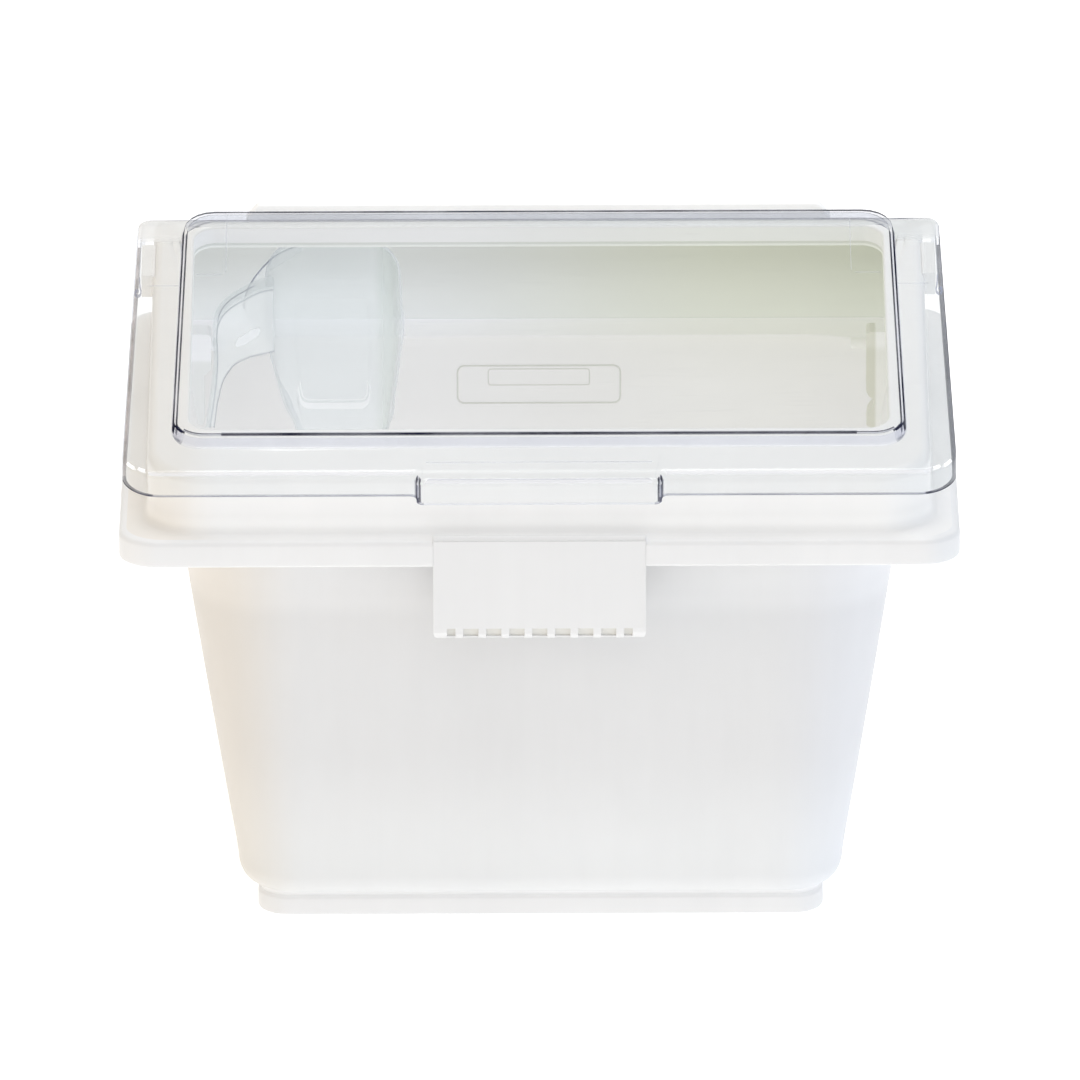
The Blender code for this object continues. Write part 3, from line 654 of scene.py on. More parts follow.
# section of a bead: sideways in widths, upward in heights
BEAD_SECTION = [(-0.5, -0.25), (-0.5, 0.35), (-0.28, 0.85), (0.0, 1.0), (0.28, 0.85),
                (0.5, 0.35), (0.5, -0.25)]


def add_bead(bm, path, width, height, up, slot=0):
    """Low rounded ridge along a path; 'up' points away from the surface it lies on."""
    centres = points(path)
    up = Vector(up).normalized()
    rings = []
    for i, centre in enumerate(centres):
        before = centres[max(i - 1, 0)]
        after = centres[min(i + 1, len(centres) - 1)]
        side = (after - before).normalized().cross(up).normalized()
        rings.append([centre + side * (u * width * MM) + up * (v * height * MM)
                      for u, v in BEAD_SECTION])
    loops = skin(bm, rings, [slot] * len(rings))
    bm.faces.new(loops[0]).material_index = slot
    bm.faces.new(loops[-1][::-1]).material_index = slot


# ============================================================ cutting
def cutter_box(x0, x1, y0, y1, z0, z1):
    bm = bmesh.new()
    corners = [(x, y, z) for z in (z0, z1) for x, y in ((x0, y0), (x1, y0), (x1, y1), (x0, y1))]
    verts = [bm.verts.new(p) for p in points(corners)]
    for face in ((3, 2, 1, 0), (4, 5, 6, 7), (0, 1, 5, 4), (1, 2, 6, 5), (2, 3, 7, 6),
                 (3, 0, 4, 7)):
        bm.faces.new([verts[i] for i in face])
    return link_mesh(bpy.data.meshes.new("c"), "c", bm)


def cutter_rod(y, z, radius, x0, x1):
    bm = bmesh.new()
    add_prism(bm, circle(y, z, radius, 48), "x", x0, x1)
    bmesh.ops.recalc_face_normals(bm, faces=bm.faces[:])
    return link_mesh(bpy.data.meshes.new("c"), "c", bm)


def cut_away(ob, cutter):
    """Takes the cutter out of the object for good, and removes the cutter."""
    cut = ob.modifiers.new("cut", "BOOLEAN")
    cut.solver = "EXACT"
    cut.operation = "DIFFERENCE"
    cut.object = cutter
    depsgraph = bpy.context.evaluated_depsgraph_get()
    mesh = bpy.data.meshes.new_from_object(ob.evaluated_get(depsgraph))
    ob.modifiers.clear()
    uncut = ob.data
    ob.data = mesh
    bpy.data.meshes.remove(uncut)
    bpy.data.objects.remove(cutter, do_unlink=True)


def finish_shell(ob, role):
    ob.data.shade_smooth()
    ob.data.set_sharp_from_angle(angle=math.radians(38))
    weighted = ob.modifiers.new("wn", "WEIGHTED_NORMAL")
    weighted.keep_sharp = True
    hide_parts(role[2])


# ============================================================ clear lid
LID_HALF, LID_FRONT, LID_REAR = 296.0, 12.0, 352.0
LID_CORNER = 28.0
SKIRT = 18.0            # depth of the skirt below the lid's plane
SKIRT_FOLD = 4.5        # radius between skirt and top
PULL_HALF = 86.8        # the middle of the front steps out into a pull lip
PULL_FRONT = 0.4
PULL_RADIUS = 5.0
PANEL_HALF, PANEL_FRONT = 259.5, 48.0   # raised panel
PANEL_CORNER = 22.0
PANEL_HEIGHT, PANEL_FOLD = 8.7, 2.6
LID_THICKNESS = 2.6

# stretches of half the outline, from the rear corner to the middle of the front:
# first segment past the stretch, name
REGIONS = [(5, "rear"), (31, "side"), (38, "rear_half_corner"), (46, "front_half_corner"),
           (57, "front"), (60, "step_end"), (67, "step"), (70, "step_end"), (80, "lip")]


def outline_region(segment):
    return next(name for end, name in REGIONS if segment < end)


def lid_flank(half, front, rear, front_radius, rear_radius, stop):
    """Right side of a lid outline: rear corner, side, front corner, front up to x = stop."""
    side_start = rear - rear_radius
    side_length = side_start - front - front_radius
    flank = arc(half - rear_radius, side_start, rear_radius, 90, 0, 5)
    flank += [(half, side_start - side_length * k / 26) for k in range(1, 26)]
    corner_x = half - front_radius
    flank += arc(corner_x, front + front_radius, front_radius, 0, -90, 14)
    flank += [(corner_x - (corner_x - stop) * k / 12, front) for k in range(1, 12)]
    return flank


def lid_ring(height, inset):
    front, pull_front = LID_FRONT + inset, PULL_FRONT + inset
    pull = PULL_HALF - inset
    r = PULL_RADIUS
    right = lid_flank(LID_HALF - inset, front, LID_REAR, LID_CORNER - inset, 5.0, PULL_HALF + r)
    right += arc(pull + r, front - r, r, 90, 180, 6)
    right += arc(pull - r, pull_front + r, r, 0, -90, 6)
    right += [((pull - r) * (1 - k / 8.0), pull_front) for k in range(1, 9)]
    # the lid narrows slightly towards the rear
    return [(x * (1.0 - 0.021 * max(y - 30.0, 0.0) / 320.0), y, plane(y) + height)
            for x, y in right + mirrored(right[:-1])]


def panel_ring(height, inset, draft=0.0):
    """Ring of the raised panel, with as many points as a lid ring."""
    front = PANEL_FRONT + inset - draft
    radius = PANEL_CORNER - inset
    right = lid_flank(PANEL_HALF - inset + draft, front, LID_REAR - 1.5 - inset,
                      radius, radius, 92.0)
    right += [(92.0 - 10.0 * k / 13.0, front) for k in range(14)]
    right += [(82.0 * (1 - k / 8.0), front) for k in range(1, 9)]
    return [(x * (1.0 - 0.016 * (y - 48.0) / 300.0), y, plane(y) + height)
            for x, y in right + mirrored(right[:-1])]


def skirt_material(band, region, left, segment):
    low = band in ("foot", "skirt")
    foot = band == "foot"
    crest = band in ("fold3", "fold4")
    if region == "rear":
        return "glare" if low else "margin"
    if region == "side":
        if foot:
            return "brown" if left else "navy"
        if band == "skirt":
            return "hair" if left else "navy"
        if band in ("fold1", "fold2"):
            return "glare" if left else "line"
        return "margin"
    if region == "rear_half_corner":
        if foot:
            return "navy"
        return "flare" if crest and segment in (35, 36, 37) else "margin"
    if region == "front_half_corner":
        if foot:
            return "line" if segment < 43 else "hair"
        if band in ("fold4", "fold5") and segment in (39, 40):
            return "flare"
        return "pale" if crest and segment > 41 else "margin"
    if region == "step":
        if segment in (60, 66):
            return "hair" if low else "clear"
        if segment == 65:
            return "line" if low else "clear"
        if low or band in ("fold1", "fold2"):
            return "navy"
        return "line" if band == "fold3" else "clear"
    if region == "lip":
        if foot:
            return "glare"
        if band == "fold5":
            return "lilac"
        return "pale" if crest else "clear"
    if foot:
        return "hair"
    return "pale" if region == "front" and crest else "clear"


PANEL_SIDE = {"wall": "navy", "top1": "navy", "base": "lilac"}
PANEL_CORNERS = {"wall": "lilac", "top1": "navy", "top2": "line", "base": "hair"}
PANEL_FRONT_CORNERS = {"wall": "band", "top3": "hair", "top4": "line", "base": "glare"}
PANEL_REAR = {"wall": "rear_band", "top1": "navy", "top2": "line", "base": "hair"}
PANEL_FRONT_EDGE = {"wall": "band", "top3": "navy", "top4": "navy", "top5": "hair",
                    "base": "glare"}


def panel_material(band, region, segment):
    if band == "margin":
        return "margin"
    if region == "side":
        bands = {**PANEL_SIDE, "top3": "pale"}
    elif region == "rear_half_corner":
        bands = PANEL_SIDE if segment < 34 else PANEL_CORNERS
    elif region == "front_half_corner":
        bands = PANEL_FRONT_CORNERS
    elif region == "rear":
        bands = PANEL_REAR
    else:
        bands = PANEL_FRONT_EDGE
    return bands.get(band, "clear")


def make_lid():
    """Formed sheet: skirt, folded edge, margin and raised panel, open at the skirt's rear."""
    # (name of the band that ends at the ring, ring)
    skirt = [("foot", lid_ring(-SKIRT, 0.0)), ("foot", lid_ring(-SKIRT + 0.8, 0.0)),
             ("skirt", lid_ring(-12.0, 0.0)), ("skirt", lid_ring(-SKIRT_FOLD, 0.0))]
    for k, (inward, rise) in enumerate(quarter(6), 1):
        ring = lid_ring(-SKIRT_FOLD + SKIRT_FOLD * rise, SKIRT_FOLD * inward)
        skirt.append(("fold%d" % k, ring))
    panel = [("margin", panel_ring(0.0, 0.0, draft=3.2)), ("toe", panel_ring(0.35, 0.0, draft=2.2)),
             ("base", panel_ring(1.2, 0.0, draft=1.5)), ("wall", panel_ring(6.1, 0.0, draft=0.3))]
    for k, (inward, rise) in enumerate(quarter(5), 1):
        ring = panel_ring(PANEL_HEIGHT - PANEL_FOLD + PANEL_FOLD * rise, PANEL_FOLD * inward)
        panel.append(("top%d" % k, ring))

    bm = bmesh.new()
    loops = [(band, [bm.verts.new(p) for p in points(ring)]) for band, ring in skirt + panel]
    count = len(loops[0][1])
    for index, ((_, a), (band, b)) in enumerate(zip(loops, loops[1:]), 1):
        on_skirt = index < len(skirt)
        for i in range(count):
            if on_skirt and i == count - 1:
                continue
            j = (i + 1) % count
            face = bm.faces.new((a[i], a[j], b[j], b[i]))
            segment = min(i, count - 2 - i)
            region = outline_region(segment)
            if on_skirt:
                material = skirt_material(band, region, i > count // 2, segment)
            else:
                material = panel_material(band, region, segment)
            face.material_index = LID_SLOTS.index(material)
    bm.faces.new(loops[-1][1]).material_index = LID_SLOTS.index("clear")
    ob = build("lid_sheet", bm, LID.values(), LID_ROLE, sharp=50)
    sheet = ob.modifiers.new("sheet", "SOLIDIFY")
    sheet.thickness = LID_THICKNESS * MM
    sheet.offset = -1.0
    sheet.use_even_offset = True
    sheet.use_rim = True
    sheet.material_offset_rim = 0
    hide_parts(LID_ROLE[2])


def on_lid(x, y, height):
    return (x, y, plane(y) + height)


def make_lid_lines():
    """Fine witness lines on the margin and on the raised panel."""
    margin, top = -0.02, 8.66    # heights just below the two surfaces
    line_y = 262.5
    bm = bmesh.new()
    for side, _ in SIDES:
        path = [on_lid(side * (258.6 + 2.2 * k), line_y, margin) for k in range(11)]
        add_bead(bm, path, width=0.5, height=0.22, up=LID_UP)
        path = [on_lid(side * 225.0, y, top) for y in (338.0, 318.0, 298.0, 278.0, 266.0)]
        add_bead(bm, path, width=0.45, height=0.2, up=LID_UP)
        path = [on_lid(side * x, line_y, top) for x in (228.0, 234.0, 240.0, 246.0)]
        add_bead(bm, path, width=0.45, height=0.2, up=LID_UP)
    path = [on_lid(x, 25.3, margin) for x in (-80.0, -40.0, 0.0, 40.0, 80.0)]
    add_bead(bm, path, width=0.6, height=0.22, up=LID_UP)
    part("lid_witness_lines", bm, [LID_MARK], LID_ROLE, sharp=35)


# curl at the front of a guide blade: x, height above the lid's plane at y = 277
HOOK_CURL = [(287.3, -2.8), (287.2, -6.0), (287.0, -10.0), (286.4, -13.0), (287.0, -15.6),
             (288.8, -16.6), (290.4, -15.4), (290.6, -13.4), (289.4, -12.2), (288.2, -13.0)]


def make_lid_guides():
    """Thin blade under each side of the lid, with a hook that curls outwards at its front."""
    corners = ((282.0, -11.0), (326.0, -11.0), (326.0, -2.4), (282.0, -2.4))
    blade = [(y, plane(y) + height) for y, height in corners]
    curl = smooth_curve([(x, plane(277.0) + height) for x, height in HOOK_CURL], 3)
    for side, tag in SIDES:
        prism_part("lid_guide_" + tag, blade, "x", side * 287.0, side * 287.7, LID_RIB,
                   LID_ROLE, sharp=35)
        hook = [(side * x, z) for x, z in ribbon(curl, 0.4)]
        prism_part("lid_hook_" + tag, hook, "y", 276.0, 280.5, LID_RIB_EDGE, LID_ROLE, sharp=50)


make_lid()
make_lid_lines()
make_lid_guides()

# ============================================================ hood and tub shells
WALL = 3.0
DECK_DROP = 3.6                      # the hood's deck lies this far below the lid's plane
ROOF_A, ROOF_B = 353.0, 359.0        # the roof folds between these two places
ROOF_Z = plane(ROOF_A) - DECK_DROP - 0.5
RIM_HALF = 298.5
LIP_BOTTOM, LIP_TOP = 298.5, 318.0
HOOD_HALF, HOOD_FRONT, HOOD_REAR = 278.0, 15.0, 480.0
TUB_HALF, TUB_FRONT = 214.5, 73.5            # body at its base height
TUB_TOP_HALF, TUB_TOP_FRONT = 259.0, 41.0    # body at TUB_TOP
TUB_BASE_Z = 24.0
TUB_SWELL = 1.6                              # how far the body's walls bulge
FOOT_HALF, FOOT_FRONT = 203.0, TUB_FRONT + 10.5
LATCH_HALF = 75.4
RECESS_HALF = 75.5


def plan(half, front, rear, front_radius, rear_radius, across=14, snap=()):
    """Rounded rectangle seen from above, counter-clockwise from the front right corner.

    The side point nearest to each y in snap is moved onto it.
    """
    right = arc(half - front_radius, front + front_radius, front_radius, -90, 0, 20)
    start, end = front + front_radius, rear - rear_radius
    side = [start + (end - start) * k / 26 for k in range(1, 26)]
    for y in snap:
        if start < y < end:
            nearest = min(range(len(side)), key=lambda i: abs(side[i] - y))
            side[nearest] = y
    right += [(half, y) for y in side]
    right += arc(half - rear_radius, rear - rear_radius, rear_radius, 0, 90, 20)
    rear_x, front_x = half - rear_radius, half - front_radius
    back = [(rear_x - 2 * rear_x * k / across, rear) for k in range(1, across)]
    face = [(-front_x + 2 * front_x * k / across, front) for k in range(1, across)]
    return right + back + mirrored(right) + face


def flat(outline, z):
    return [(x, y, z) for x, y in outline]


def drape(outline, height_at):
    return [(x, y, height_at(y)) for x, y in outline]


def roof(y):
    """Height of the hood's deck: along the lid, a short fold, then down to the rear."""
    fold_start = plane(ROOF_A) - DECK_DROP
    if y <= ROOF_A:
        return plane(y) - DECK_DROP
    if y <= ROOF_B:
        return fold_start + (y - ROOF_A) * (ROOF_Z - fold_start) / (ROOF_B - ROOF_A)
    return ROOF_Z - (y - ROOF_B) * 0.43


def hood_plan(inset):
    return plan(HOOD_HALF - inset, HOOD_FRONT + inset, HOOD_REAR - inset, 38.0 - inset,
                34.0 - inset, snap=(ROOF_A, ROOF_B))


def lip_ring(inset, z):
    return flat(plan(RIM_HALF - inset, inset, DEPTH - inset, 28.0 - inset, 28.0 - inset), z)


def opening_ring(inset, height):
    """Ring around the window opening, at a height relative to the roof."""
    outline = plan(249.0 - inset, 76.5 + inset, 349.0 - inset, 16.0 - inset, 16.0 - inset)
    return drape(outline, lambda y: roof(y) + height)


def under_roof_ring(inset, drop):
    return drape(hood_plan(WALL + inset), lambda y: roof(y) - WALL - drop)


def hood_rim_rings():
    """Outer side of the lip, from its foot up over the rounded edge."""
    rings = [lip_ring(2.6, LIP_BOTTOM + 0.05), lip_ring(1.6, LIP_BOTTOM),
             lip_ring(0.7, LIP_BOTTOM + 0.3), lip_ring(0.15, LIP_BOTTOM + 1.1),
             lip_ring(0.0, LIP_BOTTOM + 2.2), lip_ring(0.0, LIP_BOTTOM + 9.0),
             lip_ring(0.0, LIP_TOP - 4.2)]
    rings += [lip_ring(3.6 * inward, LIP_TOP - 4.2 + 3.9 * rise) for inward, rise in quarter(6)]
    return rings


def hood_outer_rings():
    rings = [flat(plan(293.0, 5.2, DEPTH - 4.6, 27.0, 26.0), LIP_TOP + 0.15),
             flat(plan(287.0, 8.4, DEPTH - 6.2, 30.0, 28.0), LIP_TOP + 1.1)]
    # soft inner corner between ledge and wall
    for inward, rise in quarter(5, first=0):
        out = 5.0 * (1 - rise)
        outline = plan(HOOD_HALF + 0.6 + out, HOOD_FRONT - 0.4 - out * 0.9,
                       HOOD_REAR + 0.4 + out * 0.8, 38.6 + out * 0.2, 34.6)
        rings.append(flat(outline, LIP_TOP + 1.6 + 6.5 * inward))
    rings.append(flat(hood_plan(0.2), LIP_TOP + 14.0))
    # rounded upper edge of the walls
    radius = 7.5
    for inward, rise in quarter(8, first=0):
        drop = radius * (1 - rise)
        rings.append(drape(hood_plan(radius * inward), lambda y: roof(y) - drop))
    # deck: the rings walk in to the opening on the folded roof
    rings.append(drape(plan(264.0, 40.0, 420.0, 26.0, 26.0, snap=(ROOF_A, ROOF_B)), roof))
    rings.append(drape(plan(257.0, 60.0, ROOF_B, 22.0, 18.0), roof))
    rings.append(drape(plan(254.5, 68.0, ROOF_A, 20.0, 17.5), roof))
    rings += [opening_ring(-1.9, 0.0), opening_ring(-1.5, -0.05), opening_ring(-0.75, -0.3),
              opening_ring(-0.2, -0.8)]
    return rings


def hood_inner_rings():
    """From the underside of the opening's bead back out and down to the lip's foot."""
    steps = ((-0.4, -16.0), (-1.9, -16.0), (-2.7, -15.5), (-3.0, -14.6), (-3.0, -6.0),
             (-3.2, -4.2), (-4.4, -3.0))
    rings = [opening_ring(inset, height) for inset, height in steps]
    rings.append(drape(plan(262.0, 56.0, ROOF_B + 4.0, 22.0, 20.0), lambda y: roof(y) - WALL))
    rings += [under_roof_ring(inset, drop)
              for inset, drop in ((4.5, 0.0), (2.4, 0.7), (0.9, 2.2), (0.0, 4.5))]
    lip_inside = plan(295.4, 3.1, DEPTH - 3.1, 25.4, 25.4)
    rings += [flat(hood_plan(WALL), LIP_TOP + 8.0), flat(hood_plan(WALL), TUB_TOP + 1.6),
              flat(hood_plan(0.5), TUB_TOP + 0.4),
              flat(plan(293.0, 5.5, DEPTH - 5.5, 24.0, 24.0), TUB_TOP + 0.4),
              flat(lip_inside, TUB_TOP - 1.0), flat(lip_inside, LIP_BOTTOM + 0.6)]
    return rings


def make_hood():
    bm = bmesh.new()
    skin_sections(bm, [
        (2, hood_rim_rings()),
        (0, hood_outer_rings()),
        (3, [opening_ring(0.0, -1.6)]),
        (4, [opening_ring(0.0, -12.2), opening_ring(-0.5, -13.2)]),
        (5, [opening_ring(-0.2, -14.2), opening_ring(0.2, -15.2)]),
        (1, hood_inner_rings()),
    ], close=True)
    ob = build("hood_shell", bm, [HOOD_OUTER, HOOD_INNER, HOOD_RIM_SHADED, OPENING_WALL,
                                  OPENING_BEAD_SHADE, OPENING_BEAD_LIT], HOOD_ROLE)
    # recess for the latch and its roll in the front of the lip
    half = RECESS_HALF
    cut_away(ob, cutter_box(-half, half, -3.0, 3.9, LIP_BOTTOM - 4.0, PIVOT_Z))
    cut_away(ob, cutter_rod(PIVOT_Y, PIVOT_Z, 3.95, -half, half))
    cut_away(ob, cutter_box(-half, half, -3.0, PIVOT_Y, PIVOT_Z - 1.0, PIVOT_Z + 8.0))
    finish_shell(ob, HOOD_ROLE)


# foot: inset from the foot's outline, corner radius, z; from the recess below outwards and up
TUB_FOOT_RINGS = [
    (11.0, 14.0, 10.0), (11.0, 14.0, 1.0), (10.4, 14.0, 0.0), (2.0, 20.0, 0.0),
    (0.6, 21.5, 0.6), (0.0, 22.0, 2.0), (0.0, 22.0, 12.0), (0.3, 22.0, 13.4),
    (1.2, 21.0, 14.4), (2.4, 20.0, 15.0), (2.8, 20.0, 16.4), (2.4, 20.5, 17.8)]
# flange: half width, front, corner radius, height relative to TUB_TOP
FLANGE_UNDER = [
    (260.2, 39.5, 62.0, -4.6), (262.5, 36.8, 61.0, -3.4), (267.0, 32.0, 56.0, -3.0),
    (293.6, 4.9, 24.0, -3.0), (294.6, 3.9, 24.8, -2.4), (294.8, 3.7, 25.0, -1.5),
    (294.6, 3.9, 24.8, -0.6)]
FLANGE_TOP = [(293.8, 4.7, 24.0, 0.0), (258.6, 41.4, 60.0, 0.0), (257.0, 43.0, 59.0, -0.5),
              (256.0, 44.0, 58.6, -2.0)]


def tub_plan(half, front, radius):
    return plan(half, front, DEPTH - front, radius, radius, across=24)


def tub_height(z):
    """Share of the body's height, 0 at its base and 1 at its top."""
    return (z - TUB_BASE_Z) / (TUB_TOP - TUB_BASE_Z)


def tub_front(t):
    return TUB_FRONT - (TUB_FRONT - TUB_TOP_FRONT) * t


def tub_swell(t):
    return TUB_SWELL * math.sin(math.pi * min(max(t, 0.0), 1.0))


def swollen(outline, half, front, swell):
    """Pushes the walls outwards, most at their middles."""
    half_depth = DEPTH / 2 - front
    result = []
    for x, y in outline:
        from_middle = y - DEPTH / 2
        along_x = max(0.0, 1.0 - (x / half) ** 2)
        along_y = max(0.0, 1.0 - (from_middle / half_depth) ** 2)
        near_y = max(0.0, 1.0 - abs(abs(from_middle) - half_depth) / 40.0)
        near_x = max(0.0, 1.0 - abs(abs(x) - half) / 40.0)
        result.append((x + (1 if x > 0 else -1) * swell * along_y * near_x,
                       y + (-1.0 if from_middle < 0 else 1.0) * swell * along_x * near_y))
    return result


def body_ring(z, inset=0.0):
    t = tub_height(z)
    half = TUB_HALF + (TUB_TOP_HALF - TUB_HALF) * t - inset
    front = tub_front(t) + inset
    outline = tub_plan(half, front, 42.0 + 20.0 * t - inset)
    return flat(swollen(outline, half, front, tub_swell(t)), z)


def make_tub():
    foot = [flat(tub_plan(FOOT_HALF - inset, FOOT_FRONT + inset, radius), z)
            for inset, radius, z in TUB_FOOT_RINGS]
    # rounded lower edge of the body
    outer = []
    for inward, rise in quarter(10):
        inset = 13.0 * (1 - rise)
        outline = tub_plan(TUB_HALF + 2.6 - inset, TUB_FRONT - 2.0 + inset, 44.0 - inset)
        outer.append(flat(outline, 18.6 + 19.0 * inward))
    outer += [body_ring(z) for z in (50.0, 80.0, 115.0, 150.0, 185.0, 220.0, 250.0, 275.0,
                                     292.0, TUB_TOP - 8.0)]
    outer += [flat(tub_plan(half, front, radius), TUB_TOP + height)
              for half, front, radius, height in FLANGE_UNDER]
    inner = [flat(tub_plan(half, front, radius), TUB_TOP + height)
             for half, front, radius, height in FLANGE_TOP]
    inner += [body_ring(z, WALL) for z in (292.0, 250.0, 200.0, 150.0, 100.0, 60.0)]
    # rounded edge of the floor
    inner += [body_ring(z, inset) for z, inset in ((38.0, 4.0), (31.0, 6.5), (26.0, 10.5),
                                                   (22.6, 16.0), (21.5, 22.0))]
    bm = bmesh.new()
    loops = skin_sections(bm, [(2, foot), (0, outer), (1, inner)], close=False)
    # caps: recess under the base, and the floor
    bm.faces.new(loops[0])
    bm.faces.new(loops[-1]).material_index = 1
    bmesh.ops.triangulate(bm, faces=[f for f in bm.faces if len(f.verts) > 4],
                          quad_method="BEAUTY", ngon_method="BEAUTY")
    ob = build("tub_shell", bm, [TUB_OUTER, TUB_INNER, TUB_FOOT_LIT], TUB_ROLE)
    # room for the latch in the front of the flange
    cut_away(ob, cutter_box(-77.4, 77.4, -2.0, 22.5, TUB_TOP - 6.0, TUB_TOP + 4.0))
    finish_shell(ob, TUB_ROLE)


make_hood()
make_tub()


# ============================================================ small parts of the hood
def make_hood_features():
    # ridge across the deck behind the lid, ends rounded
    foot = roof(374.0) - 1.5
    ridge = [(-211.5, foot), (211.5, foot), (211.5, foot + 9.0), (203.0, 442.0),
             (-203.0, 442.0), (-211.5, foot + 9.0)]
    prism_part("hood_ridge", soft_corners(ridge, [0, 0, 3.0, 6.0, 6.0, 3.0], 5), "y",
               364.0, 374.0, HOOD_RIDGE_LIT, HOOD_ROLE, bevel=1.4)
    # bosses on the side walls, under the lid's skirt
    corners = ((286.0, 22.0), (328.0, 20.0), (328.0, 5.2), (286.0, 5.2))
    boss = [(y, plane(y) - drop) for y, drop in corners]
    for side, tag in SIDES:
        start, end = sorted((side * 276.5, side * 286.2))
        prism_part("hood_boss_" + tag, boss, "x", start, end, HOOD_OUTER, HOOD_ROLE, bevel=0.8)
    # faint raised line on the ledge above the latch
    bm = bmesh.new()
    path = [(x, 6.6, LIP_TOP + 0.2) for x in (-58.0, -30.0, 0.0, 30.0, 55.0)]
    add_bead(bm, path, width=2.2, height=0.5, up=(0, 0, 1))
    part("hood_centre_line", bm, [HOOD_OUTER], HOOD_ROLE, sharp=50)


# ============================================================ front latch
LATCH_FOOT = 243.3    # lowest corner of ribs and end blocks
# rear part of the side view shared by ribs and end blocks: y, z, and the corner radii
LATCH_SIDE = [(3.4, LATCH_FOOT), (17.0, 243.5), (20.0, 247.0), (20.0, 259.0), (8.0, 295.0),
              (2.0, 300.0)]
LATCH_SIDE_RADII = [3.0, 2.0, 2.0, 3.0, 1.0]


def make_latch():
    half = LATCH_HALF
    plate = [(-half, PIVOT_Z), (-half, 251.8), (half, 251.8), (half, PIVOT_Z)]
    prism_part("latch_plate", soft_corners(plate, [0.2, 2.5, 2.5, 0.2]), "y", 0.2, 3.2,
               LATCH, LATCH_ROLE, bevel=0.45)
    prism_part("latch_roll", circle(PIVOT_Y, PIVOT_Z, 3.4, 40), "x", -half, half,
               LATCH, LATCH_ROLE, bevel=0.5, angle=60)
    # recessed wall and cross bar between the ribs
    wall = [(3.1, 256.0), (4.0, 244.6), (16.0, 244.6), (16.0, 249.0), (6.0, 249.4), (5.2, 256.0)]
    prism_part("latch_return", wall, "x", -half + 2.0, half - 2.0, LATCH_UNDERSIDE_SHADED, LATCH_ROLE,
               bevel=0.3)
    bar = [(2.4, 245.6), (2.4, 244.2), (15.0, 243.9), (15.0, 245.6)]
    prism_part("latch_bar", soft_corners(bar, 0.7, 4), "x", -half + 4.0, half - 4.0,
               LATCH, LATCH_ROLE, bevel=0.3)
    make_latch_ribs()
    make_latch_ends()


def make_latch_ribs():
    count, pitch, half_width = 8, 16.3, 2.8
    outline = soft_corners([(1.0, 254.0), (1.2, 246.8)] + LATCH_SIDE,
                           [0.5, 3.0, 2.6] + LATCH_SIDE_RADII, 4)
    bm = bmesh.new()
    for k in range(count):
        centre = (k - (count - 1) / 2) * pitch
        add_prism(bm, outline, "x", centre - half_width, centre + half_width)
    part("latch_ribs", bm, [LATCH], LATCH_ROLE, bevel=0.9)


def make_latch_ends():
    half, width, corner = LATCH_HALF, 9.6, 3.6
    outline = soft_corners([(0.2, 256.0), (0.5, 248.5)] + LATCH_SIDE,
                           [0.5, 4.0, 3.2] + LATCH_SIDE_RADII, 4)
    bm = bmesh.new()
    for start, end in ((-half, -half + width), (half - width, half)):
        add_prism(bm, outline, "x", start, end)
    # the outer lower corners are round as seen from the front
    for vert in bm.verts:
        lift = vert.co.z / MM - LATCH_FOOT
        if abs(vert.co.x) > (half - 0.01) * MM and lift < corner:
            inset = corner - math.sqrt(corner ** 2 - (corner - max(lift, 0.0)) ** 2)
            vert.co.x -= math.copysign(min(inset, 3.0) * MM, vert.co.x)
    part("latch_end_blocks", bm, [LATCH], LATCH_ROLE, bevel=1.6, segments=4)


# ============================================================ scoop
BOWL_X, BOWL_Z = -148.5, 318.0
# width of the bowl left and right of its middle: z, factor
NARROW_LEFT = [(240.0, 0.56), (258.0, 0.58), (272.0, 0.66), (280.0, 0.76), (292.0, 0.87),
               (308.0, 0.94), (330.0, 1.0), (420.0, 1.0)]
NARROW_RIGHT = [(240.0, 0.82), (265.0, 0.85), (308.0, 0.94), (316.0, 0.98), (330.0, 1.0),
                (350.0, 0.97), (370.0, 0.95), (420.0, 0.95)]
# rings of the bowl: y, x and z shift, half width, half height, corner radius, slot after it
BOWL_RINGS = [
    # recess in the bottom, which faces the front
    (362.4, -0.5, 14.0, 23.0, 36.0, 4.0, 0), (362.4, -0.5, 14.0, 25.6, 38.8, 5.0, 2),
    (361.4, -0.5, 14.0, 26.6, 39.8, 5.6, 0), (359.2, -0.5, 14.0, 27.6, 40.8, 6.4, 2),
    (358.5, -0.5, 12.0, 28.6, 43.4, 7.6, 0),
    # rounded bottom edge and flaring wall
    (358.5, 0.0, -1.0, 36.5, 61.0, 16.0, 0), (359.3, 0.0, -1.0, 40.0, 65.0, 18.0, 0),
    (361.6, 0.0, 0.0, 42.8, 68.6, 20.0, 0), (366.0, 0.0, 0.0, 44.6, 71.0, 21.0, 0),
    (395.0, 0.0, 0.0, 47.8, 75.0, 24.0, 0),
    # rim
    (414.5, 0.0, 0.0, 49.6, 77.4, 27.0, 1), (415.4, 0.0, 0.0, 50.6, 78.6, 28.0, 1),
    (418.0, 0.0, 0.0, 50.6, 78.6, 28.0, 1),
    # inner wall
    (418.0, 0.0, 0.0, 48.4, 76.0, 26.0, 0), (395.0, 0.0, 0.0, 45.8, 73.0, 22.0, 0),
    (367.0, 0.0, 0.0, 42.4, 68.8, 19.0, 0), (363.0, 0.0, -0.5, 39.0, 64.0, 16.0, 0),
    (361.0, 0.0, -1.0, 34.0, 58.0, 13.0, 0),
    # inner bottom, stepping around the recess
    (361.0, -0.5, 10.0, 30.5, 44.0, 8.0, 0), (364.8, -0.5, 14.0, 25.0, 38.0, 5.0, 0)]
